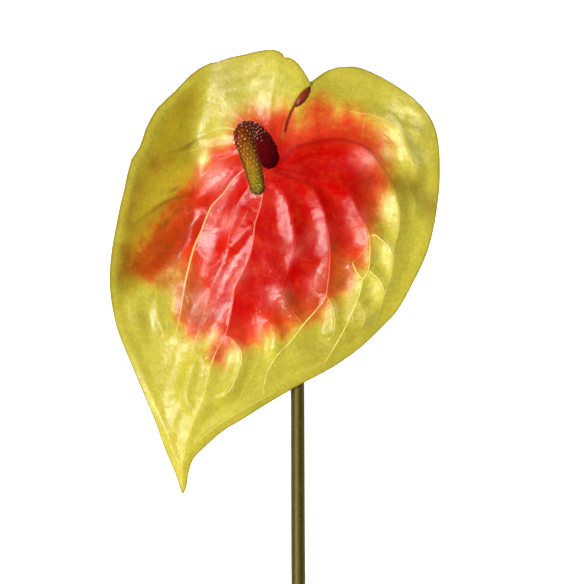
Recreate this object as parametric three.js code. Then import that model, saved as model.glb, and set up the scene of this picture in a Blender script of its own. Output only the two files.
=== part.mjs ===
// A cut anthurium, laid down: one straight stem along Y, the spathe (the coloured bract) face up, and the spadix that
// bends over on it. Millimetres, +Z up. Everything is drawn from the attachment, the point where stem, spathe and
// spadix meet, and the finished group is then moved so that the origin lies on the floor under the middle of its box.
import * as THREE from 'three';

// ---- driving dimensions ---------------------------------------------------------------------------------------------
const ATTACHMENT_HEIGHT = 20; // top of the spathe where the spadix stands on it
const BLADE_THICKNESS = 0.9;
const JOIN_GAP = 0.3; // clearance between the grown-together pieces
const SEAT_RADIUS = 5.3; // flat seat of the spadix
const SEAT_BLEND = 5; // the blade leaves the flat seat over this distance

const STEM_TOP_RADIUS = 3.3;
const STEM_NECK_RADIUS = 2.75;
const STEM_CUT_RADIUS = 3.7;
const STEM_CUT_Y = -670; // the flower is 720 long, with 50 of it above the attachment
const STEM_CUT_SLANT = 0.5; // rise of the slanted cut, as run over rise
const STEM_SIDES = 12;
const STEM_SIT = Math.cos(Math.PI / STEM_SIDES); // height of the middle, in radii, when a flat side is on the floor

const SPADIX_BASE_RADIUS = 4.9;
const SPADIX_ARCH_RADIUS = 4.5;
const SPADIX_TIP_RADIUS = 3.9;
const FLORET_RELIEF = 0.32;
const FLORETS_ROUND = 12;
const FLORET_PITCH = 2.3; // along the spadix, two rows of florets to a pitch

const COLUMNS_PER_SECTOR = 4; // grid steps between two neighbouring veins
const BLADE_ROWS = 26; // grid steps from the attachment to the margin

// ---- the spathe's veins ---------------------------------------------------------------------------------------------
// Main veins, counter-clockwise from the left edge of the slit round to its right edge. route runs from the seat to the
// margin, ridge is how strongly the vein stands up, and margin holds the edge points that follow the route's end.
const MAIN_VEINS = [
  { ridge: 0,
    route: [[4.6, 11], [6.2, 15.5], [7.4, 19.5], [9.6, 24], [11.4, 27.4], [13.8, 30.8], [16.3, 33], [18.3, 34.3]],
    margin: [[16.6, 37.5], [14, 41.5], [11, 45], [8, 46.6]] },
  { ridge: 0.5,
    route: [[1.5, 6.5], [1, 14], [0.5, 24], [1, 34], [3, 42.5], [6, 46.6]],
    margin: [[5, 48.5], [2, 50], [-4, 49.8], [-12, 48], [-20, 46.2], [-23, 45]] },
  { ridge: 0.7,
    route: [[-1.8, 5], [-7, 12], [-12.5, 18.5], [-18.5, 24.5], [-24, 31], [-28, 37], [-28.3, 41], [-27.3, 44.2]],
    margin: [[-30, 43], [-35, 39.7], [-40, 34.7], [-44, 30.5], [-50, 25], [-53, 20.5], [-55.6, 15.5], [-57.4, 10],
      [-59, 5.8]] },
  { ridge: 0.7,
    route: [[-3.5, 3.5], [-9, 9.5], [-15.5, 13.8], [-23, 13.8], [-30.5, 11.5], [-38, 7.6], [-49, 4.5], [-62.2, 1.2]],
    margin: [[-64, -5], [-66, -14], [-67.7, -21], [-69.5, -30]] },
  { ridge: 0.6,
    route: [[-4.5, 1], [-14, 3.5], [-21.5, 1.5], [-27, -3.5], [-32.5, -9], [-40, -14], [-48, -19], [-57, -26.5],
      [-71, -38]],
    margin: [[-72, -46], [-72.4, -54], [-72, -60]] },
  { ridge: 0.8,
    route: [[-4.6, -0.6], [-12, -1], [-19, -5.5], [-25, -12.5], [-30, -19], [-35, -24], [-38.5, -33], [-41, -41.5],
      [-47.5, -49], [-57, -57], [-71, -67.5]],
    margin: [[-69.3, -75], [-66.3, -83], [-63, -91], [-59.5, -99.5]] },
  { ridge: 1,
    route: [[-4.3, -1.9], [-12, -3.4], [-17, -7.8], [-20, -11.5], [-24.5, -17.5], [-28, -23], [-30.2, -29],
      [-33.5, -34.5], [-35.5, -40], [-37, -47.5], [-38.8, -54], [-39.8, -60], [-41, -68], [-43.5, -80], [-48, -95],
      [-56, -108]],
    margin: [[-52, -117.5], [-49.5, -125]] },
  { ridge: 1,
    route: [[-3.6, -3], [-8, -9], [-13, -17], [-16.3, -23.5], [-18, -29.5], [-19.2, -35], [-19.8, -40], [-22.3, -46.5],
      [-25.5, -52.5], [-27.5, -58], [-30, -66], [-32.8, -76], [-36.5, -90], [-41.5, -108], [-47.2, -131]],
    margin: [[-45, -136], [-42.2, -143], [-41, -147]] },
  { ridge: 1.3,
    route: [[-2, -4.2], [-3.6, -9], [-4.4, -14.5], [-4.3, -19], [-5.8, -23.5], [-7.6, -28], [-8.2, -33.5],
      [-9.2, -39.5], [-10.8, -44.5], [-12.3, -49.5], [-14.8, -54.5], [-17, -59.5], [-17.2, -64.5], [-18.4, -70.5],
      [-20.2, -77], [-22.8, -82], [-25.2, -87], [-28, -96.5], [-31.5, -108], [-35.5, -120], [-38.5, -134],
      [-40, -149.8]],
    margin: [[-38.6, -147.5], [-37.5, -142], [-36.5, -137], [-34.8, -133.2], [-31.2, -129.5]] },
  { ridge: 1,
    route: [[0, -4.6], [3.5, -10], [7.5, -18], [9.8, -27], [11, -36], [10.6, -42], [8.6, -47.5], [6.5, -52.5],
      [5, -58], [2.5, -63.5], [0, -69], [-1.8, -75], [-4, -85], [-9, -97], [-16, -109], [-25, -123.8]],
    margin: [[-20, -120], [-14, -116.5], [-10, -114]] },
  { ridge: 1.1,
    route: [[1.8, -4.3], [8, -7.2], [14, -10], [19.5, -14.8], [24, -22], [25.8, -30], [26.8, -39], [26.3, -49],
      [25, -59], [22, -65.5], [16.5, -72.5], [11, -79.5], [4.5, -86.5], [-1, -95], [-5, -110.8]],
    margin: [[0, -107.8], [7, -103.6], [14, -99.7]] },
  { ridge: 1,
    route: [[3.4, -3.3], [12, -5], [22, -7.5], [31, -10], [36, -14], [40, -21], [43, -28], [44.7, -34.5], [44.9, -42],
      [44, -49], [40.8, -54.5], [37.5, -62], [33.5, -71], [28, -82], [20.5, -96.4]],
    margin: [[28, -92.3], [33, -89], [40, -83.8]] },
  { ridge: 1,
    route: [[4.6, -0.8], [12, 4.6], [21, 8.6], [29.5, 10], [38, 8.3], [44, 5], [48.3, 0], [52, -5.5], [55.5, -11],
      [58, -18], [58.5, -27], [56.8, -36], [55.3, -43], [53.5, -52], [50.8, -59], [48.5, -67], [45, -79.3]],
    margin: [[51, -73.3], [57, -66.7]] },
  { ridge: 0.35,
    route: [[4.9, 1.8], [13, 8.5], [22, 12.8], [31, 14.4], [40, 12.8], [48, 8.5], [55, 1.5], [60.5, -8], [64, -20],
      [65.5, -33], [64.8, -43], [66.2, -50]],
    margin: [[68.6, -44.8], [70.5, -40], [73, -31]] },
  { ridge: 0.35,
    route: [[5.1, 3.6], [13, 11.5], [22, 17], [32, 19.6], [42, 18.2], [52, 13.2], [61, 4.5], [68, -7], [74.3, -21]],
    margin: [[75.5, -12], [76, -2]] },
  { ridge: 0.3,
    route: [[5.3, 5], [12, 13.5], [20, 19.5], [30, 23.5], [41, 24.2], [53, 20.5], [64, 13], [75.8, 5]],
    margin: [[74.6, 13], [72, 19.5]] },
  { ridge: 0.2,
    route: [[5.4, 6.4], [12, 16], [20, 23.5], [31, 28.5], [44, 29.5], [56, 27.5], [68, 25]],
    margin: [[63.5, 29.2], [57, 33.8]] },
  { ridge: 0.2,
    route: [[5.5, 7.6], [11.5, 18], [19, 26], [29, 32], [39, 35.3], [50, 38]],
    margin: [[43, 41.2], [37, 42.8]] },
  { ridge: 0.1,
    route: [[5.6, 8.8], [9.5, 18], [15, 26], [22.5, 34], [30, 42.4]],
    margin: [[25, 40.6], [22, 38.6], [18.5, 36], [14, 33.4]] },
  { ridge: 0,
    route: [[5.6, 10], [5.2, 14.5], [5.8, 19.5], [7.2, 24.5], [9.6, 29.6]],
    margin: [] },
];

// Cross veins, which close the blisters between the main veins.
const CROSS_VEINS = [
  [[-19.6, -39.5], [-14.5, -36.3], [-10.8, -31.5], [-8, -29]],
  [[-26.8, -29.8], [-22.5, -28.6], [-18, -27]],
  [[-38.5, -60.2], [-32, -58.2], [-27, -55]],
  [[-17, -59.5], [-22, -63.2], [-28, -69.5], [-31, -75], [-34.5, -81]],
  [[-20.2, -77], [-16.2, -80.3], [-13.6, -84.5], [-13, -88.5], [-15, -94], [-18.5, -101], [-23, -106]],
  [[-11, -45], [-5, -51.5], [0, -52.2], [6.3, -53]],
  [[-8, -33], [2, -39.2], [7, -37], [10.6, -33.5]],
  [[6, -55], [9, -65], [12, -70.5], [15, -74.5]],
  [[10.5, -33], [17, -34], [21, -32.3], [26, -35]],
  [[21.5, -36], [23.6, -44], [23.4, -51], [21, -59], [18, -66]],
  [[26.8, -40], [32, -43.8], [38, -44], [44.9, -41]],
  [[33, -54], [36.5, -48.8], [41.3, -52.8]],
  [[44, -49.5], [48.8, -53.5], [50.8, -58.5]],
  [[44.5, -33], [50, -35.5], [54, -39.5], [55.3, -46]],
  [[24, -61], [28, -66], [29.2, -73], [27, -82]],
  [[37.5, -62], [41, -65.5], [43, -70]],
  [[11.5, -79], [12, -86], [15.5, -89]],
  [[-0.5, -72], [1.6, -79], [-0.5, -88], [-5, -94]],
  [[-40, -58.5], [-50, -60.4], [-58, -63]],
  [[-41.5, -70.5], [-45, -73], [-50, -75]],
  [[-34, -81], [-33.5, -88], [-36, -97]],
  [[56, 14.2], [62.5, 14], [67, 11.5]],
  [[38, 8.3], [46, 9.2], [54, 8], [60.5, 7.5]],
  [[-35, -24], [-44, -30], [-52, -36], [-60, -42]],
  [[-33, -9], [-38, -18], [-41, -24]],
];
const VEIN_RIDGE_HEIGHT = 1.5; // a main vein of ridge 1 above the blisters beside it
const VEIN_RIDGE_REACH = 2.8; // over this distance a ridge falls to a third
const CROSS_VEIN_RIDGE = 0.55;
const CROSS_VEIN_REACH = 1.7;

// The spathe's broad form: heights above the floor at named places of the blade.
const FORM_HEIGHTS = [
  // seat and the crest that runs over it, from the top lobe down to the tip
  [0, 0, 20], [1, 20, 22], [1, 35, 23.5], [4, 46, 23], [12, 28, 25.5], [17, 34.5, 26], [11, 43, 25],
  [-5, -25, 19.5], [-10, -45, 18.5], [-17, -62, 17], [-22, -82, 15.5], [-30, -105, 13], [-36, -125, 10.5],
  [-40, -149, 7],
  // the left lobe's crease, its dark flank and its raised margin
  [-12, 40, 20.5], [-16, 18, 17.5], [-28, 38, 15], [-33, 14, 9.5], [-33, -8, 4.5], [-37, -20, 1.8], [-40, -34, 2.4],
  [-40, 34.5, 24], [-50, 25, 28], [-57, 11, 30], [-62, 1, 31], [-66, -14, 30], [-69.5, -30, 28], [-72, -46, 24.5],
  [-72, -60, 17.5], [-48, 10, 16], [-50, -10, 12], [-54, -25, 11], [-58, -40, 9.5], [-56, -52, 6],
  // the lower left blade
  [-69.5, -75, 10.5], [-63.5, -91, 8.5], [-56, -108, 8.5], [-48, -128, 8], [-58, -68, 5], [-47, -56, 4],
  [-50, -80, 6.5], [-42, -96, 9.5], [-25, -30, 10], [-30, -55, 9.5], [-33, -75, 10.5],
  // the lower right blade, with its edge close to the floor
  [8, -50, 15.5], [10, -75, 13.5], [30, -30, 14], [30, -60, 11.5], [50, -35, 8], [45, -60, 7], [74, -25, 5],
  [70.5, -40, 2.6], [62, -58.5, 1.6], [51, -73, 3.5], [40, -83.5, 6.5], [28, -92, 8.6], [14, -99.5, 9.6],
  [0, -107.5, 10.2], [-14, -116.5, 10.2], [-27, -125, 9.5], [56, -20, 7], [62, -45, 4.6],
  // the right lobe
  [20, 5, 18.5], [35, 0, 15.5], [48, -8, 10.5], [30, 25, 18.5], [45, 16, 15.5], [60, 2, 13.5], [65, -14, 9],
  [76, -2, 8.5], [74.5, 13, 9.5], [68, 25, 10.5], [50, 38, 12.5], [37, 42.5, 14.5], [24, 38, 19],
];
const SLIT_LIFT = 2.6; // the left lobe's slit edge lies over the right lobe's, which dips by as much
const SLIT_LIFT_START = 10;
const SLIT_LIFT_FULL = 19;
const SLIT_LIFT_REACH = 9; // across the lobes
const SLIT_LINE = [[4.6, 11], [7.4, 19.5], [11.4, 27.4], [18.3, 34.3], [24, 40]];
const REST_SPOT = { x: -37.5, y: -21, radius: 5.5 }; // flat patch under the blade, on the floor

// ---- shared helpers -------------------------------------------------------------------------------------------------
const smoothstep = (low, high, value) => THREE.MathUtils.smoothstep(value, low, high);

function curveThrough(points, samples) {
  const corners = points.map(([x, y, z = 0]) => new THREE.Vector3(x, y, z));
  return new THREE.CatmullRomCurve3(corners, false, 'centripetal').getSpacedPoints(samples);
}

function distanceToSegment(x, y, a, b) {
  const along = THREE.MathUtils.clamp(((x - a.x) * (b.x - a.x) + (y - a.y) * (b.y - a.y)) / a.distanceToSquared(b), 0, 1);
  return Math.hypot(x - a.x - along * (b.x - a.x), y - a.y - along * (b.y - a.y));
}

function distanceToLine(x, y, line) {
  let nearest = Infinity;
  for (let i = 1; i < line.length; i += 1) nearest = Math.min(nearest, distanceToSegment(x, y, line[i - 1], line[i]));
  return nearest;
}

function solveLinear(rows) {
  // Gaussian elimination with pivoting on an augmented matrix.
  const size = rows.length;
  for (let column = 0; column < size; column += 1) {
    let pivot = column;
    for (let row = column + 1; row < size; row += 1) {
      if (Math.abs(rows[row][column]) > Math.abs(rows[pivot][column])) pivot = row;
    }
    [rows[column], rows[pivot]] = [rows[pivot], rows[column]];
    for (let row = 0; row < size; row += 1) {
      if (row === column) continue;
      const factor = rows[row][column] / rows[column][column];
      for (let k = column; k <= size; k += 1) rows[row][k] -= factor * rows[column][k];
    }
  }
  return rows.map((row, i) => row[size] / row[i]);
}

// A thin-plate surface through named heights: the smoothest sheet that passes through all of them.
function thinPlate(heights) {
  const bend = (ax, ay, bx, by) => {
    const squared = (ax - bx) ** 2 + (ay - by) ** 2;
    return squared > 0 ? squared * Math.log(squared) : 0;
  };
  const rows = heights.map(([x, y, z]) => [...heights.map(([u, v]) => bend(x, y, u, v)), 1, x, y, z]);
  rows.push([...heights.map(() => 1), 0, 0, 0, 0]);
  rows.push([...heights.map(([x]) => x), 0, 0, 0, 0]);
  rows.push([...heights.map(([, y]) => y), 0, 0, 0, 0]);
  const weights = solveLinear(rows);
  const plane = weights.slice(heights.length);
  return (x, y) => heights.reduce((sum, [u, v], i) => sum + weights[i] * bend(x, y, u, v),
    plane[0] + plane[1] * x + plane[2] * y);
}

function closedMesh(name, vertices, faces, material) {
  const geometry = new THREE.BufferGeometry();
  geometry.setAttribute('position', new THREE.Float32BufferAttribute(vertices.flatMap((v) => [v.x, v.y, v.z]), 3));
  geometry.setIndex(faces.flat());
  geometry.computeVertexNormals();
  const mesh = new THREE.Mesh(geometry, material);
  mesh.name = name;
  return mesh;
}

// ---- spathe ---------------------------------------------------------------------------------------------------------
function veinLines() {
  const main = MAIN_VEINS.map((vein) => ({
    line: curveThrough(vein.route, 60), ridge: vein.ridge, reach: VEIN_RIDGE_REACH }));
  const cross = CROSS_VEINS.map((route) => ({
    line: curveThrough(route, 16), ridge: CROSS_VEIN_RIDGE, reach: CROSS_VEIN_REACH }));
  return { main, all: [...main.filter((vein) => vein.ridge > 0), ...cross] };
}

// The margin between two neighbouring veins, as evenly spaced points.
function marginBetween(index) {
  const before = MAIN_VEINS[index];
  const after = MAIN_VEINS[index + 1];
  return curveThrough([before.route.at(-1), ...before.margin, after.route.at(-1)], COLUMNS_PER_SECTOR);
}

function bladeHeight(x, y, side, form, veins, slit) {
  let height = form(x, y);
  const outwards = Math.hypot(x, y);
  const ridge = Math.max(...veins.map((vein) => vein.ridge * Math.exp(-distanceToLine(x, y, vein.line) / vein.reach)));
  const bed = smoothstep(SEAT_RADIUS, SEAT_RADIUS + 2 * SEAT_BLEND, outwards);
  height += VEIN_RIDGE_HEIGHT * (ridge - 0.5) * bed;
  const overlap = Math.exp(-((distanceToLine(x, y, slit) / SLIT_LIFT_REACH) ** 2));
  height += side * SLIT_LIFT * overlap * smoothstep(SLIT_LIFT_START, SLIT_LIFT_FULL, outwards);
  return THREE.MathUtils.lerp(ATTACHMENT_HEIGHT, height, smoothstep(SEAT_RADIUS, SEAT_RADIUS + SEAT_BLEND, outwards));
}

function bladeGrid() {
  const form = thinPlate(FORM_HEIGHTS);
  const { main, all } = veinLines();
  const slit = curveThrough(SLIT_LINE, 30);
  const sectors = MAIN_VEINS.length - 1;
  const columns = [];
  for (let sector = 0; sector < sectors; sector += 1) {
    const margin = marginBetween(sector);
    const last = sector === sectors - 1 ? COLUMNS_PER_SECTOR : COLUMNS_PER_SECTOR - 1;
    const left = curveThrough(MAIN_VEINS[sector].route, BLADE_ROWS);
    const right = curveThrough(MAIN_VEINS[sector + 1].route, BLADE_ROWS);
    const side = sector < sectors / 2 ? 1 : -1; // over or under at the slit
    for (let step = 0; step <= last; step += 1) {
      const across = step / COLUMNS_PER_SECTOR;
      const chordEnd = left[BLADE_ROWS].clone().lerp(right[BLADE_ROWS], across);
      const bulge = margin[step].clone().sub(chordEnd);
      columns.push(left.map((point, row) => {
        const spot = point.clone().lerp(right[row], across).addScaledVector(bulge, (row / BLADE_ROWS) ** 2);
        spot.z = bladeHeight(spot.x, spot.y, side, form, all, slit);
        return spot;
      }));
    }
  }
  return { columns, main };
}

// Triangles of the upper face: the vein grid, each cell split along its shorter diagonal, and a small fan on the seat.
function upperFaces(points, columnCount, rowCount) {
  const at = (column, row) => column * rowCount + row;
  const centre = columnCount * rowCount;
  const faces = [];
  for (let column = 0; column + 1 < columnCount; column += 1) {
    faces.push([centre, at(column, 0), at(column + 1, 0)]);
    for (let row = 0; row + 1 < rowCount; row += 1) {
      const [a, b, c, d] = [at(column, row), at(column, row + 1), at(column + 1, row + 1), at(column + 1, row)];
      const splitsAC = points[a].distanceTo(points[c]) < points[b].distanceTo(points[d]);
      faces.push(...(splitsAC ? [[a, b, c], [a, c, d]] : [[a, b, d], [b, c, d]]));
    }
  }
  faces.push([centre, at(columnCount - 1, 0), at(0, 0)]);
  return faces;
}

// The blade's edge in order: down the first column, round the margin and back up the last column.
function rimLoop(columnCount, rowCount) {
  const loop = [];
  for (let row = 0; row < rowCount; row += 1) loop.push(row);
  for (let column = 1; column < columnCount; column += 1) loop.push(column * rowCount + rowCount - 1);
  for (let row = rowCount - 2; row >= 0; row -= 1) loop.push((columnCount - 1) * rowCount + row);
  return loop;
}

function makeSpathe() {
  const { columns } = bladeGrid();
  const rowCount = BLADE_ROWS + 1;
  const upper = [...columns.flat(), new THREE.Vector3(0.6, 0.8, ATTACHMENT_HEIGHT)];
  const faces = upperFaces(upper, columns.length, rowCount);
  const count = upper.length;

  const sheet = new THREE.BufferGeometry();
  sheet.setAttribute('position', new THREE.Float32BufferAttribute(upper.flatMap((v) => [v.x, v.y, v.z]), 3));
  sheet.setIndex(faces.flat());
  sheet.computeVertexNormals();
  const normal = sheet.getAttribute('normal');
  const lower = upper.map((point, i) => {
    const below = point.clone().addScaledVector(new THREE.Vector3().fromBufferAttribute(normal, i), -BLADE_THICKNESS);
    const onSpot = Math.hypot(below.x - REST_SPOT.x, below.y - REST_SPOT.y) < REST_SPOT.radius;
    below.z = onSpot ? 0 : Math.max(below.z, 0);
    return below;
  });
  upper.forEach((point, i) => { point.z = Math.max(point.z, lower[i].z + 0.8 * BLADE_THICKNESS); });

  const loop = rimLoop(columns.length, rowCount);
  const rim = loop.flatMap((here, i) => {
    const next = loop[(i + 1) % loop.length];
    return [[here, here + count, next + count], [here, next + count, next]];
  });
  const underFaces = faces.map(([a, b, c]) => [a + count, c + count, b + count]);
  const material = new THREE.MeshStandardMaterial({ color: 0xc6452a, roughness: 0.35, metalness: 0 });
  return closedMesh('spathe', [...upper, ...lower], [...faces, ...underFaces, ...rim], material);
}

// ---- stem and spadix: round sections along a route -----------------------------------------------------------------
// Sections stand square to the route and carry no twist; both ends are closed by a fan.
function sweep(name, route, sides, radiusAt, material, shape = () => 0) {
  const tangents = route.map((point, i) => route[Math.min(i + 1, route.length - 1)].clone()
    .sub(route[Math.max(i - 1, 0)]).normalize());
  let across = new THREE.Vector3(1, 0, 0);
  const vertices = [];
  route.forEach((point, i) => {
    across = across.clone().addScaledVector(tangents[i], -across.dot(tangents[i])).normalize();
    const along = new THREE.Vector3().crossVectors(tangents[i], across);
    for (let side = 0; side < sides; side += 1) {
      const turn = ((side + 0.5) / sides) * 2 * Math.PI;
      const radius = radiusAt(i / (route.length - 1)) + shape(i, side, route.length);
      vertices.push(point.clone().addScaledVector(across, radius * Math.cos(turn))
        .addScaledVector(along, radius * Math.sin(turn)));
    }
  });
  const faces = [];
  for (let ring = 0; ring + 1 < route.length; ring += 1) {
    for (let side = 0; side < sides; side += 1) {
      const here = ring * sides + side;
      const beside = ring * sides + ((side + 1) % sides);
      // Alternate diagonals join the low corners, so that raised ones stand as separate studs.
      const even = (ring + side) % 2 === 0;
      faces.push(...(even ? [[here, beside, here + sides], [beside, beside + sides, here + sides]]
        : [[here, beside, beside + sides], [here, beside + sides, here + sides]]));
    }
  }
  vertices.push(route[0].clone(), route.at(-1).clone());
  const first = vertices.length - 2;
  const last = vertices.length - 1;
  const lastRing = (route.length - 1) * sides;
  for (let side = 0; side < sides; side += 1) {
    const beside = (side + 1) % sides;
    faces.push([first, beside, side], [last, lastRing + side, lastRing + beside]);
  }
  return closedMesh(name, vertices, faces, material);
}

const stemRadius = (along) => {
  const neck = THREE.MathUtils.lerp(STEM_TOP_RADIUS, STEM_NECK_RADIUS, smoothstep(0, 0.03, along));
  return along < 0.03 ? neck : THREE.MathUtils.lerp(STEM_NECK_RADIUS, STEM_CUT_RADIUS, smoothstep(0.1, 1, along));
};

function makeStem() {
  const top = ATTACHMENT_HEIGHT - BLADE_THICKNESS - JOIN_GAP;
  const onFloor = STEM_NECK_RADIUS * STEM_SIT;
  // Down from the attachment, round the neck and out along the floor, bowed a little as a grown stem is.
  const neck = curveThrough([[0.4, -0.4, top], [0.5, -0.6, top - 3], [1.3, -3, 10.5], [3.4, -8.5, 5.6],
    [6.6, -18, 3.3], [9.4, -32, onFloor], [11, -50, onFloor], [11.8, -75, onFloor]], 22);
  neck[1].setX(neck[0].x).setY(neck[0].y); // the top section lies flat under the blade
  const run = curveThrough([[11.8, -75, 0], [12, -110, 0], [12.3, -190, 0], [13.8, -350, 0], [14, -500, 0],
    [12.4, STEM_CUT_Y, 0]], 26).slice(1);
  const route = [...neck, ...run];
  const ringCount = route.length - 1;
  run.forEach((point, i) => point.setZ(STEM_SIT * stemRadius((neck.length + i) / ringCount)));
  const material = new THREE.MeshStandardMaterial({ color: 0x6b6630, roughness: 0.45, metalness: 0 });
  const stem = sweep('stem', route, STEM_SIDES, stemRadius, material);
  const position = stem.geometry.getAttribute('position');
  for (let i = 0; i < position.count; i += 1) {
    position.setZ(i, Math.max(position.getZ(i), 0));
    if (position.getY(i) < STEM_CUT_Y + 1) position.setY(i, STEM_CUT_Y + STEM_CUT_SLANT * position.getZ(i));
  }
  return stem;
}

function makeSpadix() {
  const foot = ATTACHMENT_HEIGHT + JOIN_GAP;
  const spine = [[-0.7, -0.2, foot], [-0.9, 0.6, foot + 4], [-1.8, 4, foot + 12], [-4, 8.6, foot + 21],
    [-7.4, 12.3, foot + 29.5], [-10.6, 13.9, foot + 35], [-12.5, 11.6, foot + 39], [-12.2, 6.2, foot + 41.5],
    [-10.2, -0.4, foot + 41.6], [-8.1, -6.8, foot + 39.4], [-6.5, -12.6, foot + 36]];
  const length = new THREE.CatmullRomCurve3(spine.map((spot) => new THREE.Vector3(...spot)), false, 'centripetal')
    .getLength();
  const route = curveThrough(spine, 2 * Math.round(length / FLORET_PITCH));
  route[1].setX(route[0].x).setY(route[0].y); // the foot lies flat on the seat
  const tipStart = 1 - SPADIX_TIP_RADIUS / length;
  const radiusAt = (along) => {
    const body = along < 0.5
      ? THREE.MathUtils.lerp(SPADIX_BASE_RADIUS, SPADIX_ARCH_RADIUS, along / 0.5)
      : THREE.MathUtils.lerp(SPADIX_ARCH_RADIUS, SPADIX_TIP_RADIUS, (along - 0.5) / 0.5);
    const roundTip = Math.max((along - tipStart) / (1 - tipStart), 0);
    return body * Math.sqrt(Math.max(1 - roundTip ** 2, 0.04));
  };
  const florets = (ring, side, count) => {
    const clear = ring < 2 || ring > count - 6;
    return clear || (ring + side) % 2 ? 0 : FLORET_RELIEF;
  };
  const material = new THREE.MeshStandardMaterial({ color: 0x8a5a20, roughness: 0.5, metalness: 0 });
  return sweep('spadix', route, 2 * FLORETS_ROUND, radiusAt, material, florets);
}

// ---- assembly -------------------------------------------------------------------------------------------------------
const flower = new THREE.Group();
flower.add(makeStem(), makeSpathe(), makeSpadix());
const box = new THREE.Box3().setFromObject(flower);
flower.position.set(-(box.min.x + box.max.x) / 2, -(box.min.y + box.max.y) / 2, 0);

export default flower;
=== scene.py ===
# %% [markdown]
# # A cut anthurium, laid down
# An anthurium is a long bare stalk with one large waxy leaf at its end, the spathe, and a fleshy spike that
# stands on it, the spadix. This lesson dresses a plain model of one. The plain model comes first and stays
# the frame for all that follows: it says how long the stalk is, where the spathe lies and where the spadix
# stands on it.

# %% The frame
import math

import bpy
import numpy as np
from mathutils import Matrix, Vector


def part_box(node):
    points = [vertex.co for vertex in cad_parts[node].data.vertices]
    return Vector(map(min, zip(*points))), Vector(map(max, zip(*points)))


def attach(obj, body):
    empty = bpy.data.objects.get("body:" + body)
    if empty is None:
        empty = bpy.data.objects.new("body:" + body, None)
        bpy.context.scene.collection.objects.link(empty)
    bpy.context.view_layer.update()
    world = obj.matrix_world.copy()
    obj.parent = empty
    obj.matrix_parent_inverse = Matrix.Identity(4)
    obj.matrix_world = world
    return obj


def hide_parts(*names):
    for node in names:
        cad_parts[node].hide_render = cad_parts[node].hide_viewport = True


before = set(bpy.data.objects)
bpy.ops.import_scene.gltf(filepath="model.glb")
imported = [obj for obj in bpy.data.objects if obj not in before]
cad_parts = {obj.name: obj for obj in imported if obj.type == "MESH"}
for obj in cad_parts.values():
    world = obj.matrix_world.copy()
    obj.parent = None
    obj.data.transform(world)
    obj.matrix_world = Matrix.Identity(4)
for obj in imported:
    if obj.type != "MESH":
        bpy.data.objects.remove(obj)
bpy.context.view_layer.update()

MM = 0.001

# %% [markdown]
# ## Drawing from the attachment
# A grower would describe the flower from the point where stalk, spathe and spadix meet, so every drawing here
# starts there, in millimetres. The plain model lies with its origin under the middle of its box. The stalk's
# cut end and the sides of the spathe are known in both, so the step from one to the other is worked out from
# them and not typed in.

# %% Main sizes
ATTACHMENT_HEIGHT = 20
JOIN_GAP = 0.3
PLAIN_THICKNESS = 0.9  # of the plain model's blade
SEAT_RADIUS = 5.3
SEAT_BLEND = 5
STEM_CUT_Y = -670
BLADE_LEFT, BLADE_RIGHT = -73, 76

spathe_low, spathe_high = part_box("spathe")
stem_low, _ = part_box("stem")
SHIFT = np.array([
    (spathe_low[0] + spathe_high[0]) / 2 / MM - (BLADE_LEFT + BLADE_RIGHT) / 2,
    stem_low[1] / MM - STEM_CUT_Y,
    0.0,
])
print("attachment lies at, mm:", SHIFT.round(2))

# %% Lines and distances
CURVE_STEPS = 25  # between two given points of a curve


def smoothstep(low, high, value):
    t = np.clip((value - low) / (high - low), 0, 1)
    return t * t * (3 - 2 * t)


def mix(a, b, t):
    return a + (b - a) * t


def along(values, share):
    """The value at a share of the way, between evenly spaced ones."""
    return np.interp(share, np.linspace(0, 1, len(values)), values)


def steps_of(line):
    """The distance from each point of a line to the next."""
    return np.linalg.norm(np.diff(np.array(line, float), axis=0), axis=1)


def curve_through(points, count):
    """Evenly spaced points on the smooth curve through given ones (a centripetal Catmull-Rom curve)."""
    corners = np.array([[*point, 0][:3] for point in points], float)
    corners = np.vstack([2 * corners[0] - corners[1], corners, 2 * corners[-1] - corners[-2]])
    gaps = np.maximum(steps_of(corners) ** 0.5, 1e-4)
    steps = np.linspace(0, 1, CURVE_STEPS)[:, None]
    dense = []
    for i in range(1, len(corners) - 2):
        p0, p1, p2, p3 = corners[i - 1:i + 3]
        d0, d1, d2 = gaps[i - 1:i + 2]
        leave = ((p1 - p0) / d0 - (p2 - p0) / (d0 + d1) + (p2 - p1) / d1) * d1
        arrive = ((p2 - p1) / d1 - (p3 - p1) / (d1 + d2) + (p3 - p2) / d2) * d1
        c2 = -3 * p1 + 3 * p2 - 2 * leave - arrive
        c3 = 2 * p1 - 2 * p2 + leave + arrive
        dense.append(p1 + leave * steps + c2 * steps ** 2 + c3 * steps ** 3)
    dense = np.vstack(dense)
    lengths = np.append(0, np.cumsum(steps_of(dense)))
    wanted = np.linspace(0, lengths[-1], count + 1)
    return np.column_stack([np.interp(wanted, lengths, dense[:, axis]) for axis in range(3)])


def closed_curve(points, count):
    return curve_through([*points, points[0]], count)[:-1]


def nearest_on_line(xy, line):
    """Distance from each point to a drawn line, and how far along it, from 0 to 1, the nearest spot is."""
    nearest = np.full(len(xy), 1e9)
    share = np.zeros(len(xy))
    for i, (a, b) in enumerate(zip(line[:-1, :2], line[1:, :2])):
        run = b - a
        part = np.clip(((xy - a) @ run) / max(run @ run, 1e-9), 0, 1)
        gap = xy - a - part[:, None] * run
        squared = np.einsum("ij,ij->i", gap, gap)
        closer = squared < nearest
        nearest[closer] = squared[closer]
        share[closer] = (i + part[closer]) / (len(line) - 1)
    return np.sqrt(nearest), share


def gap_to(xy, line):
    return nearest_on_line(xy, line)[0]


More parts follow.
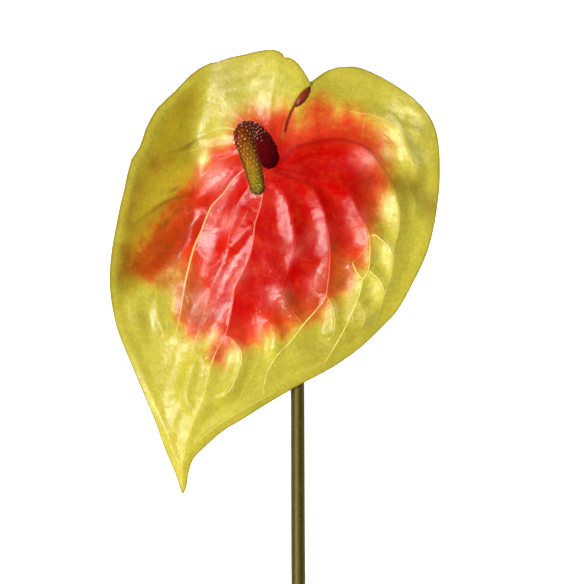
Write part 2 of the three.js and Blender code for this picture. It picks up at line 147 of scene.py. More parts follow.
def signed_distance(xy, outline):
    """Distance to a closed outline in millimetres, positive inside."""
    closed = np.vstack([outline, outline[:1]])
    inside = np.zeros(len(xy), bool)
    for (x0, y0), (x1, y1) in zip(closed[:-1, :2], closed[1:, :2]):
        crosses = (y0 > xy[:, 1]) != (y1 > xy[:, 1])
        with np.errstate(divide="ignore", invalid="ignore"):
            at = x0 + (xy[:, 1] - y0) * (x1 - x0) / (y1 - y0)
        inside ^= crosses & (xy[:, 0] < at)
    return np.where(inside, 1, -1) * gap_to(xy, closed)


print("a curve through three corners:", curve_through([(0, 0), (5, 5), (10, 0)], 2).round(2).tolist())

# %% Objects, attributes and pattern maps
def new_object(name, data):
    piece = bpy.data.objects.new(name, data)
    bpy.context.collection.objects.link(piece)
    return piece


def make_object(name, vertices, faces=(), materials=(), edges=(), origin=SHIFT):
    """A mesh object whose place is in its mesh, drawn in millimetres from the attachment."""
    mesh = bpy.data.meshes.new(name)
    mesh.from_pydata(((np.asarray(vertices) + origin) * MM).tolist(), edges, faces)
    mesh.update()
    for material in materials:
        mesh.materials.append(material)
    mesh.shade_smooth()
    return new_object(name, mesh)


def chain(count, first=0):
    """Edges that join a row of vertices."""
    return [(first + i, first + i + 1) for i in range(count - 1)]


def set_attributes(piece, **tables):
    for name, values in tables.items():
        layer = piece.data.attributes.new(name, "FLOAT", "POINT")
        layer.data.foreach_set("value", np.asarray(values, np.float32))


def lay_flow(piece, across, onwards):
    """A map for patterns that follow the piece's growth, from a value of u and of v for each vertex."""
    corner_vertex = np.empty(len(piece.data.loops), int)
    piece.data.loops.foreach_get("vertex_index", corner_vertex)
    flow = np.column_stack([across, onwards])[corner_vertex]
    piece.data.uv_layers.new(name="flow").data.foreach_set("uv", flow.ravel().astype(np.float32))


def ring_faces(rings):
    """Four-sided faces between each ring of vertices and the next one."""
    return [tuple(map(int, face)) for ring, beyond in zip(rings[:-1], rings[1:])
            for face in zip(ring, np.roll(ring, -1), np.roll(beyond, -1), beyond)]


print("two rings of four make", len(ring_faces([range(4), range(4, 8)])), "faces")

# %% [markdown]
# ## Node trees: small builders
# The finishes, the light and the scattering below are node trees. These helpers add a node, feed its inputs
# and name what it does, which keeps each tree short. Colours are given as 0 to 255, the way a screen shows
# them.

# %% Node helpers
def linear(color):
    """Three numbers from 0 to 255 as the linear ones that shaders use. Anything else stays as it is."""
    if not isinstance(color, tuple) or len(color) != 3:
        return color
    return (*[((c / 255 + 0.055) / 1.055) ** 2.4 if c > 10 else c / 255 / 12.92 for c in color], 1.0)


class Tree:
    """Adds and links nodes in a node tree, left to right."""

    def __init__(self, tree):
        self.tree = tree
        self.count = 0

    def feed(self, node, inputs):
        for key, value in inputs.items():
            if isinstance(value, bpy.types.NodeSocket):
                self.tree.links.new(value, node.inputs[key])
            else:
                node.inputs[key].default_value = value

    def add(self, kind, inputs=None, **settings):
        node = self.tree.nodes.new(kind)
        node.location = (180 * self.count, 0)
        self.count += 1
        for name, value in settings.items():
            setattr(node, name, value)
        self.feed(node, inputs or {})
        return node

    def get(self, kind, inputs=None, output=0, **settings):
        """What a new node puts out."""
        return self.add(kind, inputs, **settings).outputs[output]

    def math(self, operation, a, b, clamp=False):
        return self.get("ShaderNodeMath", {0: a, 1: b}, operation=operation, use_clamp=clamp)

    def plus(self, a, b):
        return self.math("ADD", a, b)

    def times(self, a, b, clamp=False):
        return self.math("MULTIPLY", a, b, clamp)

    def spread(self, value, low, high, to_low=0, to_high=1, smooth=True):
        """Values between low and high, carried to between to_low and to_high."""
        inputs = {"Value": value, "From Min": low, "From Max": high, "To Min": to_low, "To Max": to_high}
        kind = "SMOOTHSTEP" if smooth else "LINEAR"
        return self.get("ShaderNodeMapRange", inputs, interpolation_type=kind)

    def blend(self, factor, a, b, mode="MIX"):
        inputs = {0: factor, 6: linear(a), 7: linear(b)}
        return self.get("ShaderNodeMix", inputs, 2, data_type="RGBA", blend_type=mode)

    def ramp(self, factor, first, between, last):
        """A colour for each factor from 0 to 1, through the stops between."""
        node = self.add("ShaderNodeValToRGB", {"Fac": factor})
        stops = node.color_ramp.elements
        stops[0].color, stops[1].color = linear(first), linear(last)
        for position, color in between:
            stops.new(position).color = linear(color)
        return node.outputs["Color"]

    def attribute(self, name):
        return self.get("ShaderNodeAttribute", None, "Fac", attribute_name=name)

    def place(self):
        return self.get("ShaderNodeTexCoord", None, "Object")

    def noise(self, vector, scale, detail=3, roughness=0.5):
        inputs = {"Vector": vector, "Scale": scale, "Detail": detail, "Roughness": roughness}
        return self.get("ShaderNodeTexNoise", inputs)

    def streaks(self, scale, detail):
        """Noise drawn out along the piece's growth."""
        flow = self.get("ShaderNodeUVMap", uv_map="flow")
        stretched = self.get("ShaderNodeMapping", {"Vector": flow, "Scale": scale})
        return self.noise(stretched, 1, detail, 0.6)

    def bump(self, height, strength, distance):
        inputs = {"Height": height, "Strength": strength, "Distance": distance}
        return self.get("ShaderNodeBump", inputs)

    def shade(self, color, roughness, specular=0.5, **others):
        inputs = {"Base Color": linear(color), "Roughness": roughness, "Specular IOR Level": specular}
        inputs.update({name.replace("_", " "): value for name, value in others.items()})
        self.feed(self.tree.nodes["Principled BSDF"], inputs)


def new_material(name):
    material = bpy.data.materials.new(name)
    material.use_nodes = True
    return material, Tree(material.node_tree)


print("red of the spathe, linear:", [round(c, 3) for c in linear((215, 20, 10))])

# %% [markdown]
# ## Camera
# The flower is looked at from straight above, through a long lens, so that its face shows without distortion.
# The picture takes in the whole spathe and the first stretch of the stalk, which runs out of it at the lower
# edge.

# %% Camera
VIEW_WIDTH = 262.8  # millimetres of table across the picture
VIEW_MIDDLE = np.array([9.45, -58.5, 12])
LENS = 400
SENSOR = 36

camera_data = bpy.data.cameras.new("camera")
camera_data.lens = LENS
camera_data.sensor_width = SENSOR
camera_data.clip_end = 50
camera = new_object("camera", camera_data)
distance = VIEW_WIDTH * LENS / SENSOR
camera.location = ((VIEW_MIDDLE + SHIFT + [0, 0, distance]) * MM).tolist()
bpy.context.scene.camera = camera
print(f"camera {distance:.0f} mm above the flower")

# %% [markdown]
# ## Table and light
# A soft lamp to the left is the key: skin that slopes up to a vein from the left mirrors it, and the far side
# of the vein stays dark. It is brightest in its middle, so its reflections have soft borders. A wide lamp
# overhead and a pale sky fill the rest. These two are kept out of reflections, where they would lay a grey
# veil over the reds. The table glows a little, so that hardly a shadow shows on it.

# %% Floor and sky
FLOOR_SIDE = 6000
FLOOR_COLOR = (0.93, 0.93, 0.93, 1)  # linear
SKY_AT_HORIZON, SKY_OVERHEAD = 1, 0.1
TABLE_GLOW = 0.9

bpy.context.scene.view_settings.view_transform = "Standard"
bpy.context.scene.view_settings.look = "None"

floor_finish, tree = new_material("floor_white")
tree.shade(FLOOR_COLOR, 0.7, Emission_Color=(1, 1, 1, 1), Emission_Strength=TABLE_GLOW)
floor_corners = np.array([(-1, -1, 0), (1, -1, 0), (1, 1, 0), (-1, 1, 0)]) * FLOOR_SIDE / 2
floor = make_object("floor", floor_corners, [(0, 1, 2, 3)], [floor_finish])

world = bpy.data.worlds.new("sky")
world.use_nodes = True
world.cycles_visibility.glossy = False
bpy.context.scene.world = world
tree = Tree(world.node_tree)
direction = tree.get("ShaderNodeTexCoord", None, "Generated")
upwards = tree.get("ShaderNodeSeparateXYZ", {0: direction}, "Z")
brightness = tree.spread(upwards, 0.15, 0.95, SKY_AT_HORIZON, SKY_OVERHEAD, smooth=False)
tree.feed(world.node_tree.nodes["Background"], {"Strength": brightness})
print("floor and sky:", floor.name, world.name)

# %% Lamps
FADED_GAIN = 4.2  # the fade takes that much of the lamp's power away


def fade_to_edge(data):
    """Makes an area lamp brightest in its middle, as cloth over one bulb is."""
    data.use_nodes = True
    tree = Tree(data.node_tree)
    spot = tree.get("ShaderNodeNewGeometry", None, "Parametric")
    away = tree.get("ShaderNodeVectorMath", {0: spot, 1: (0.5, 0.5, 0)}, "Value", operation="DISTANCE")
    tree.feed(data.node_tree.nodes["Emission"], {"Strength": tree.spread(away, 0.5, 0, 0, FADED_GAIN)})


def softbox(name, place, target, side, power, mirrored=True):
    """An area lamp. Its place, target and side are in millimetres, its power in watts."""
    data = bpy.data.lights.new(name, "AREA")
    data.size = side * MM
    data.energy = power
    lamp = new_object(name, data)
    lamp.visible_glossy = mirrored
    lamp.location = ((np.array(place) + SHIFT) * MM).tolist()
    lamp.rotation_euler = (Vector(target) - Vector(place)).to_track_quat("-Z", "Y").to_euler()
    return lamp


key = softbox("key", (-900, -260, 1400), (0, -50, 0), 760, 50)
fade_to_edge(key.data)
softbox("fill", (150, 100, 1800), (0, -60, 0), 1800, 24, mirrored=False)

# %% [markdown]
# ## Spathe: the map of its veins
# The spathe is a leaf, and a leaf is built on its veins. They leave the attachment together, bow outwards and
# run to the edge, and the skin between them is blistered. So the blade's grid follows the veins: each main
# vein is one line of the grid, drawn as a few points, and the rows between them are filled in evenly.

# %% Main veins and the margin
def vein(route, margin, relief=(0, 0), rib=(0, 0), tint=(0, 0)):
    """A main vein: its route from the seat to the edge, and the edge points that follow its end.

    relief, rib and tint hold evenly spaced values from seat to edge: how high the vein lifts the skin, how
    thick its rib shows, and whether the rib is darker than the skin (-1), paler (1) or straw-coloured (2).
    """
    return dict(route=route, margin=margin, relief=relief, rib=rib, tint=tint)


MAIN_VEINS = [
    vein([(5.1, 10.5), (6.2, 15.5), (7.4, 19.5), (9.6, 24), (11.4, 27.4), (13.8, 30.8), (16.3, 33),
          (18.3, 34.3)],
         [(16.6, 37.5), (14, 41.5), (11, 45), (8, 46.6)]),
    vein([(1.5, 6.5), (1, 14), (0.5, 24), (1, 34), (3, 42.5), (6, 46.6)],
         [(5, 48.5), (2, 50), (-4, 49.8), (-12, 48), (-20, 46.2), (-23, 45)],
         relief=(0.1, 0.15, 0.3, 0.6, 0.7), rib=(0, 0, 0, 0.2, 0.3), tint=(0, 0, 0, 0.5, 0.6)),
    vein([(-1.8, 5), (-7, 12), (-12.5, 18.5), (-17.7, 23), (-22.5, 29), (-26.5, 35), (-28.3, 40),
          (-27.3, 44.2)],
         [(-30, 43), (-35, 39.7), (-40, 34.7), (-44, 30.5), (-50, 25), (-53, 20.5), (-55.6, 15.5),
          (-57.4, 10), (-59, 5.8)], relief=(0.25, 0.15), rib=(0.2, 0), tint=(0.4, 0.4)),
    vein([(-3.5, 3.5), (-8.6, 9.6), (-14.4, 13.8), (-21.2, 14.9), (-29.3, 12.3), (-34.7, 9.2), (-38.5, 6.3),
          (-49, 3.5), (-62.2, 1.2)],
         [(-64, -5), (-66, -14), (-67.7, -21), (-69.5, -30)], relief=(0.8, 0.1), rib=(0.6, 0),
         tint=(0.6, 0.6, 0.4, -1.2, 0, 0)),
    vein([(-4.5, 1), (-14, 3.5), (-21.6, 1.3), (-26.2, -1.4), (-30.9, -6.1), (-33.5, -10.5), (-38.5, -15),
          (-46, -17.3), (-57, -24.5), (-71, -38)],
         [(-72, -46), (-72.4, -54), (-72, -60)], relief=(0.6, 0.3), rib=(0.6, 0),
         tint=(0.6, 0.4, -0.3, -1.1, -0.4, 0)),
    vein([(-4.6, -0.6), (-12, -1), (-19, -5.5), (-25, -12.5), (-30, -19), (-34.6, -27), (-38, -36.5),
          (-42.5, -42.5), (-50, -50.5), (-58, -57.5), (-71, -67.5)],
         [(-69.3, -75), (-66.3, -83), (-63, -91), (-59.5, -99.5)]),
    vein([(-4.3, -1.9), (-12.2, -3.8), (-17.7, -8.7), (-21, -13.6), (-26, -19), (-28.6, -23.8),
          (-31.2, -30.8), (-34.6, -38.4), (-37, -47.2), (-38.7, -54.8), (-39.9, -62), (-40.9, -68),
          (-42.6, -76), (-44, -84), (-48, -96), (-56, -108)],
         [(-52, -117.5), (-49.5, -125)], relief=(0.1, 0.35, 0.45, 0.15, 0.1), rib=(0.6, 1.2, 1.2, 0.2, 0.05),
         tint=(1.2, 2, 2)),
    vein([(-3.6, -3), (-7.5, -8), (-11.2, -13.2), (-14.6, -18.4), (-16.4, -23.2), (-17.8, -28.4), (-19, -35),
          (-19.6, -39.5), (-21.6, -45), (-24, -50), (-26.8, -55.8), (-29, -63), (-32.8, -76), (-36.5, -90),
          (-41.5, -108), (-47.2, -131)],
         [(-45, -136), (-42.2, -143), (-41, -147)], relief=(0.5, 0.35, 0.3, 0.4, 0.2),
         rib=(0.6, 0.3, 0.1, 0), tint=(0.8, 0.8)),
    vein([(-2, -4.2), (-3.4, -9), (-3.9, -16.2), (-5.3, -21.8), (-7.2, -28), (-8.1, -35.6), (-10, -43.2),
          (-13.1, -50), (-16.6, -57.6), (-17.2, -62.8), (-18.7, -70.4), (-20.4, -77.6), (-24, -84),
          (-26.9, -90.9), (-28.4, -97.7), (-30, -104), (-32.6, -111), (-36, -120), (-39.4, -134),
          (-40, -149.8)],
         [(-38.6, -147.5), (-37.5, -142), (-36.5, -137), (-34.8, -133.2), (-31.2, -129.5)],
         relief=(0.45, 0.45, 0.45, 0.45, 0.3), rib=(0.9, 0.9, 0.8, 0.4, 0.15), tint=(0.9, 0.9)),
    vein([(0, -4.6), (3.5, -10), (7.5, -18), (9.8, -27), (11, -36), (10.6, -42), (8.6, -47.5), (6, -52.8),
          (4, -58), (1.8, -63.8), (-0.4, -69.5), (-2.4, -76), (-5, -86), (-9, -97), (-16, -109),
          (-25, -123.8)],
         [(-20, -120), (-14, -116.5), (-10, -114)], relief=(0.35, 0.6, 0.8, 0.55, 0.3, 0.3, 0.25, 0.2, 0.2),
         rib=(0.05, 0.2), tint=(0.5, 0.5)),
    vein([(1.8, -4.3), (8, -6.8), (15.5, -9.8), (20.4, -14.8), (23.6, -21.7), (25.4, -29.5), (26.4, -38.5),
          (26.5, -46), (25.7, -54), (24.4, -61), (20.6, -66.3), (14.6, -73.2), (9, -80.6), (3.4, -86.4),
          (-1.4, -94), (-5, -110.8)],
         [(0, -107.8), (7, -103.6), (14, -99.7)], relief=(0.6, 0.8, 0.95, 0.8, 0.5, 0.4, 0.35, 0.3, 0.3),
         rib=(0.9, 0.7, 0.9, 0.3), tint=(-1, 0.8, 1.6)),
    vein([(3.4, -3.3), (12, -5), (22, -7.5), (31, -10), (35.5, -14), (39, -21.5), (42.8, -29), (44.4, -34.5),
          (44.6, -42), (43.8, -48.8), (41.4, -53.2), (39.6, -60), (36.4, -68), (31, -79), (20.5, -96.4)],
         [(28, -92.3), (33, -89), (40, -83.8)], relief=(0.4, 0.6, 0.85, 0.95, 0.95, 0.9, 0.8, 0.6, 0.5),
         rib=(0.9, 0.5, 1.2, 0.3), tint=(-0.9, 0.4, 1.8)),
    vein([(4.6, -0.8), (9.5, 5.8), (15.5, 7.9), (27.4, 9.8), (37.7, 8.5), (43.3, 5.6), (48.9, -1),
          (53.5, -8.4), (56.6, -16), (57.8, -24), (57.4, -31), (55.4, -38), (54.8, -44), (53.8, -52),
          (51, -59.5), (48.5, -67), (45, -79.3)],
         [(51, -73.3), (57, -66.7)], relief=(0.8, 0.85, 0.9, 0.95, 1.05, 1.1, 1.15, 1.1, 0.9, 0.5, 0.3),
         rib=(1.3, 0.9, 0.4, 0.3), tint=(-1, -1, 0.5, 1)),
    vein([(4.9, 1.8), (13, 9.5), (22, 13.2), (31, 14.8), (40, 13.4), (48, 9), (55, 1.5), (60.5, -8),
          (64.6, -18), (64.3, -24), (63.3, -31), (62.8, -38), (63.8, -44), (66.2, -50)],
         [(68.6, -44.8), (70.5, -40), (72.3, -33.5)],
         relief=(-0.4, -0.3, -0.2, -0.1, 0, 0.1, 0.3, 0.5, 0.25, 0.05, 0), rib=(0, 0.1), tint=(0, 0.5)),
    vein([(5.1, 3.6), (13, 11.5), (22, 17), (32, 19.6), (42, 18.2), (52, 13.2), (61, 5), (67.6, -6.5),
          (71.6, -17), (73.7, -27)],
         [(75, -18), (75.9, -9), (76, -1)]),
    vein([(5.3, 5), (12, 13.5), (20, 19.5), (30, 23.5), (41, 24.2), (53, 20.5), (64, 13), (75.8, 5)],
         [(74.6, 13), (72, 19.5)]),
    vein([(5.4, 6.4), (12, 16), (20, 23.5), (31, 28.5), (44, 29.5), (56, 27.5), (68, 25)],
         [(63.5, 29.2), (57, 33.8)]),
    vein([(5.5, 7.6), (11.5, 18), (19, 26), (29, 32), (39, 35.3), (50, 38)],
         [(43, 41.2), (37, 42.8)]),
    vein([(5.6, 8.8), (9.5, 18), (15, 26), (22.5, 34), (30, 42.4)],
         [(25, 40.6), (22, 38.6), (18.5, 36), (14, 33.4)]),
    vein([(5.3, 10.2), (5.4, 14.5), (5.9, 19.5), (7.2, 24.5), (9.6, 29.6)],
         []),
]
print(len(MAIN_VEINS), "grid lines from the attachment to the margin")

# %% [markdown]
# Between the main veins run shorter ones that close the blisters off from each other. Near the right edge
# they make a honeycomb of long cells, and in the red they are few and faint.

# %% Cross veins
CROSS_VEINS = [
    # relief, rib, tint and points: the honeycomb of the right and lower edge
    (1.19, 1.1, 1.4, [(44.4, -33.4), (47, -33), (50, -35.2), (53.3, -38.5), (55, -43)]),
    (1.19, 1, 1.2, [(43.8, -48.8), (46.8, -50.9), (49.7, -54.5), (50.9, -59)]),
    (1.01, 0.3, 0.6, [(48.6, -66), (44, -69.5), (40, -71), (36, -69.5)]),
    (1.13, 0.5, 0.8, [(38.9, -62.5), (42, -67.5), (42.2, -71), (40.3, -74.5)]),
    (0.8, 0.3, 0.5, [(38.9, -62.5), (36.8, -69), (37, -74)]),
    (0.5, 0.4, 0.2, [(26.6, -40.5), (31, -43.5), (33.7, -44.8), (36.5, -45), (38.5, -43.8), (41, -41),
                     (43.5, -36.5)]),
    (0.8, 1, 1.2, [(36.5, -45), (38.1, -48.7), (41.4, -53)]),
    (1.19, 0.5, 0.8, [(24.8, -60), (27.8, -65), (28.9, -71), (28, -79)]),
    (0.6, 0.2, 0.6, [(29, -74), (32, -74.5), (33.2, -78), (31, -83)]),
    (0.8, 0.3, 0.5, [(4.6, -57), (7.5, -63.9), (10.5, -68.3), (14.2, -73)]),
    (1.01, 0.2, 0.6, [(-1, -71), (1.6, -76), (2.4, -80), (1, -87)]),
    (0.4, 0.2, 0.3, [(9, -81), (13, -87.5), (17.5, -88), (22, -86.5), (26.5, -86)]),
    # the right lobe
    (0.89, 0.4, 0.6, [(34.6, 22.8), (44.1, 21.2), (51.3, 18.9), (56.8, 14.9), (60, 9.3), (63.2, 1.4),
                      (65.6, -5)]),
    (0.6, 0.3, 0.6, [(56.8, 13.9), (62.4, 14), (68, 11.7)]),
    (0.4, 0.2, 0.2, [(37.7, 8.5), (44, 8.6), (50.5, 7.7), (58.4, 7.7)]),
    (0.15, 0.2, 0.5, [(42.5, 21.2), (41.5, 16), (40.9, 11.7)]),
    # left of the spadix
    (0.6, 0.3, 0.5, [(-37.8, 4.6), (-33.2, 5.8), (-24.7, 7.4), (-18.5, 8.2), (-12, 7.5)]),
    (0.5, 0.3, 0.4, [(-28.2, -20.5), (-32, -20.5), (-35.3, -22), (-39, -23.5)]),
    (0.6, 0.4, 0.6, [(-19.6, -39.3), (-14.7, -35), (-10.9, -30.4), (-7.4, -27.6)]),
    (0.5, 0.3, 0.5, [(-10, -20.5), (-12.5, -26), (-15.5, -31), (-18.8, -36)]),
    (0.15, 0.3, 0.3, [(-28.4, -30.4), (-22.3, -28.1), (-17.6, -27.4)]),
    (0.3, 0.3, -0.5, [(-27, -55.6), (-33, -59.4), (-39.3, -61.5)]),
    (0.3, 0.4, 0.2, [(-17, -59.8), (-22.9, -65), (-27.7, -69.7), (-31.1, -74.5), (-33.8, -80), (-35.5, -84)]),
    # round the tip of the red
    (0.95, 0.6, 1, [(-20.4, -77.6), (-16.1, -81.3), (-13.3, -85.4), (-13.3, -89.5), (-15.4, -96.3),
                    (-18.8, -103.1), (-24.2, -106.6)]),
    (0.8, 0.3, -0.4, [(-24, -84), (-28.3, -87.5), (-31, -88.5)]),
    (0.6, 0.2, 0.5, [(-33.8, -86.8), (-36.5, -96.3), (-38.2, -103.1), (-37.5, -108.6), (-33.5, -112)]),
    (0.5, 0.15, 0.5, [(-28, -104.5), (-30.4, -110), (-34.4, -117)]),
    # the lower left
    (0.5, 0.2, -0.6, [(-60.5, -64), (-56.3, -61.6), (-52.9, -59.8), (-50, -59.5)]),
    (0.45, 0.2, 0.4, [(-51.5, -60.5), (-51, -67.7), (-51.5, -74)]),
    (0.5, 0.2, -0.6, [(-50.5, -75), (-46, -73.5), (-42.4, -71.4)]),
    (0.45, 0.2, 0.4, [(-61.5, -62), (-60.8, -68), (-59.5, -76)]),
    (0.2, 0.1, 0, [(-42.9, -80), (-38, -81.5), (-34.5, -81)]),
    # dark ones on the left flank
    (0, 0, -1, [(-56, -37), (-51, -32), (-46, -26), (-40, -20), (-35, -17)]),
    (0, 0, -0.8, [(-37.5, -32), (-40, -38), (-42.5, -43.5), (-47, -47.5)]),
    (0, 0, -0.9, [(-47, -13.2), (-43, -12.4), (-40, -13)]),
    # faint ones in the red
    (0.35, 0.1, 0.5, [(-10.1, -43.6), (-5, -49.5), (0, -51.8), (6, -52.8)]),
    (0.4, 0.1, 0.5, [(-8, -33), (2, -39.2), (7, -37), (10.4, -33.5)]),
    (0.5, 0.1, 0.4, [(-2, -43.5), (2, -49), (5.2, -54.5)]),
    (0.3, 0.1, 0.4, [(10.5, -33), (17, -34), (21, -32.3), (25.5, -34)]),
    (0.35, 0, 0.3, [(22.5, -36), (23.6, -44), (23.4, -51), (21.5, -58), (18, -66)]),
    (0.3, 0.1, 0.4, [(10.5, -42), (17, -44.3), (22, -42.5), (26, -40)]),
    (0.2, 0.1, 0.2, [(24.4, -11.6), (29, -13.2), (35, -13)]),
    (0.15, 0, 0.3, [(34, -15), (31, -20), (29, -28), (28.6, -36)]),
    (0.15, 0.1, 0.2, [(35.5, -31.5), (38.5, -27), (40.3, -24.5)]),
    # along the rolled lower edge, and under the top of the left lobe
    (0.5, 0.4, 0.8, [(-34.5, -127.5), (-29, -122.5), (-22, -117.2), (-14, -112.3), (-6, -107.8),
                     (3, -102.5)]),
    (0.25, 0, 0, [(-24.7, 30.2), (-13.9, 33), (-2.3, 31.8), (4, 27)]),
]
print(len(CROSS_VEINS), "cross veins")

# %% [markdown]
# ## Spathe: its broad form
# Seen from the side the blade isn't flat. Its left edge stands up, a sharp crease runs down inside it, and
# from there the skin climbs to a crest over the attachment and falls away again to the right. A few heights
# at known places and the smoothest sheet that passes through all of them, a thin-plate surface, give that
# form with no bump of its own. The crease and the raised lip along the edge are then laid on it as profiles
# across a drawn line.

# %% Heights of the form
FORM_HEIGHTS = [
    # seat and the crest that runs over it, from the top lobe down to the tip
    (0, 0, 20), (1, 20, 22), (1, 35, 23.2), (4, 46, 23), (12, 28, 24.5), (17, 34.5, 24), (11, 43, 24.5),
    (-5, -25, 18.6), (-10, -45, 16.8), (-17, -62, 15), (-22, -82, 13.6), (-30, -105, 13), (-36, -125, 10.5),
    (-40, -149, 7),
    # the left lobe's flank and its raised margin
    (-12, 40, 22.2), (-16, 18, 19.3), (-28, 38, 20), (-33, 14, 14.5), (-32.5, -8, 10.5), (-36, -20, 10.4),
    (-38, -36, 10.2), (-40, 34.5, 22), (-50, 25, 24), (-57, 11, 25.5), (-62, 1, 26), (-66, -14, 25),
    (-69.5, -30, 23), (-72, -46, 19.5), (-72, -60, 15), (-48, 10, 19.2), (-50, -10, 16.8), (-54, -25, 16),
    (-58, -40, 14.5), (-56, -52, 10.5),
    # the lower left blade
    (-69.5, -75, 11), (-63.5, -91, 9), (-56, -108, 8.5), (-48, -128, 8), (-58, -68, 9.2), (-47, -58, 9.4),
    (-50, -80, 9), (-42, -96, 10), (-25, -30, 13.6), (-30, -55, 11.9), (-33, -75, 11.4),
    # the lower right blade
    (8, -50, 16.2), (10, -75, 14.4), (30, -30, 16.2), (30, -60, 14.4), (50, -35, 14.4), (45, -60, 13.2),
    (74, -25, 11), (70.5, -40, 10), (62, -58.5, 9.5), (51, -73, 9.5), (40, -83.5, 9.8), (28, -92, 10),
    (14, -99.5, 10.6), (0, -107.5, 11), (-14, -116.5, 10.6), (-27, -125, 9.8), (56, -20, 13.6),
    (62, -45, 11.8),
    # the right lobe
    (20, 5, 19), (40, 1, 17.5), (40, -9, 16.6), (50, -6, 15.8), (30, 25, 19), (45, 16, 17.5), (60, -1, 16.5),
    (62.5, -8, 14.2), (65, -15, 12), (71, -5, 13.6), (73, -15, 11.4), (54, -13, 14), (76, -2, 12),
    (74.5, 13, 12.5), (68, 25, 13.5), (50, 38, 15), (37, 42.5, 17), (24, 38, 20),
]


def thin_plate(heights):
    """The smoothest surface through the given heights, as a function of x and y."""
    table = np.array(heights, float)
    places, levels = table[:, :2], table[:, 2]

    def bend(a, b):
        squared = ((a[:, None, :] - b[None, :, :]) ** 2).sum(2)
        return squared * np.log(np.maximum(squared, 1e-12))

    plane = np.column_stack([np.ones(len(places)), places])
    system = np.block([[bend(places, places), plane], [plane.T, np.zeros((3, 3))]])
    weights = np.linalg.solve(system, np.append(levels, [0, 0, 0]))

    def height(xy):
        return bend(xy, places) @ weights[:-3] + weights[-3] + xy @ weights[-2:]

    return height


form_height = thin_plate(FORM_HEIGHTS)
print("height over the left crease:", form_height(np.array([[-37.0, -20.0]])).round(2))

# %% Crease, fold and margin
CREASE = [
    (-27.6, 45), (-29.3, 38.7), (-29.4, 33), (-31.8, 24), (-33.6, 14), (-34, 8), (-32.4, 2), (-31.8, -4.5),
    (-33, -9), (-34.6, -16), (-35.6, -23.6), (-36.4, -30.4), (-37.8, -37.3), (-41.4, -41.3), (-46.7, -47.2),
    (-52, -52.5), (-57.7, -56.8), (-63, -61.5), (-72, -67),
]
SLIT_LINE = [(5.1, 10.5), (7.4, 19.5), (11.4, 27.4), (18.3, 34.3), (24, 40)]
# where the lobes part, the right one's edge is rolled into a narrow almond beside the left one's
FOLD_OUTLINE = [
    (17.6, 33.4), (15.6, 32.9), (13.1, 30.7), (11.5, 28.5), (10.6, 26.2), (10.4, 24.8), (12, 24.9),
    (14, 26.2), (15.6, 27.9), (16.9, 30.2), (17.5, 32),
]

LONG_LINE, SHORT_LINE, MARGIN_LINE, BORDER_LINE = 60, 16, 320, 400  # steps of the lines drawn through points

crease_line = curve_through(CREASE, LONG_LINE)
slit_line = curve_through(SLIT_LINE, LONG_LINE // 2)
fold_line = closed_curve(FOLD_OUTLINE, LONG_LINE)
margin_points = list(MAIN_VEINS[0]["route"])
for here, beyond in zip(MAIN_VEINS[:-1], MAIN_VEINS[1:]):
    margin_points += [*here["margin"], beyond["route"][-1]]
margin_points += MAIN_VEINS[-1]["route"][-2::-1]
margin_line = curve_through(margin_points, MARGIN_LINE)
main_lines = [curve_through(main["route"], LONG_LINE) for main in MAIN_VEINS]
cross_lines = [curve_through(points, SHORT_LINE) for *_, points in CROSS_VEINS]
print("edge of the blade, mm round:", steps_of(margin_line).sum().round())

# %% The blade's surface
VEIN_RELIEF = 3.1  # how high a vein of relief 1 lifts the skin
HOLLOW_LEVEL = 0.5  # far from any vein the skin is sunk by this share of it
MAIN_REACH, MAIN_ROUND = 9, 0.6  # over how far the skin falls away from a vein, and how it is rounded on it
CROSS_REACH, CROSS_ROUND = 6, 1.4
CROSS_ENDS = 0.6  # how much of its relief a cross vein keeps at its ends
RIDGE_HOLLOW = 1.6  # 1 makes the sides of a ridge straight, more makes them hollow
SMOOTH_BAND = 8  # along its edge the blade is smooth
CREASE_DEPTH, CREASE_REACH, CREASE_ROUND = 1.3, 8, 1.5
LIP_HEIGHT = 0.7  # the edge is rolled: it crests a little way in
LIP_INSET, LIP_WIDTH = 3, 2.2
LIP_WEAK = 0.45  # how much of the lip there is above LIP_WEAK_Y; all of it is there below LIP_FULL_Y
LIP_WEAK_Y, LIP_FULL_Y = -60, -95
SLIT_LIFT = 0.35  # the left lobe lies on the right one, which dips by as much
SLIT_LIFT_REACH = 9
OPENING_START, OPENING_FULL = 12, 30  # how far out the edge is free of the attachment
FOLD_RISE = 1.1


def ridge(gap, reach, rounding):
    """The height beside a ridge: 1 on it, rounded, with slightly hollow sides down to 0 at its reach."""
    fallen = (np.sqrt(gap ** 2 + rounding ** 2) - rounding) / reach
    return np.clip(1 - fallen, 0, 1) ** RIDGE_HOLLOW


def vein_field(xy):
    """How far the veins lift the skin: 1 on a vein of relief 1, with hollows between the veins."""
    field = np.zeros(len(xy))
    for main, line in zip(MAIN_VEINS, main_lines):
        if any(main["relief"]):
            gap, share = nearest_on_line(xy, line)
            relief = along(main["relief"], share).clip(0)
            field += (relief * ridge(gap, MAIN_REACH, MAIN_ROUND)) ** 3
    for (relief, *_), line in zip(CROSS_VEINS, cross_lines):
        gap, share = nearest_on_line(xy, line)
        fade = smoothstep(0, 0.15, share) * smoothstep(1, 0.85, share)
        field += (relief * mix(CROSS_ENDS, 1, fade) * ridge(gap, CROSS_REACH, CROSS_ROUND)) ** 3
    return np.cbrt(field)


def edge_relief(xy, gap, opened):
    """The sharp crease beside the raised left flank, and the lip that follows the blade's edge."""
    crease = ridge(gap_to(xy, crease_line), CREASE_REACH, CREASE_ROUND)
    strength = mix(LIP_WEAK, 1, smoothstep(LIP_WEAK_Y, LIP_FULL_Y, xy[:, 1]))
    strength *= opened
    lip = strength * np.exp(-((gap - LIP_INSET) / LIP_WIDTH) ** 2)
    return LIP_HEIGHT * lip - CREASE_DEPTH * crease


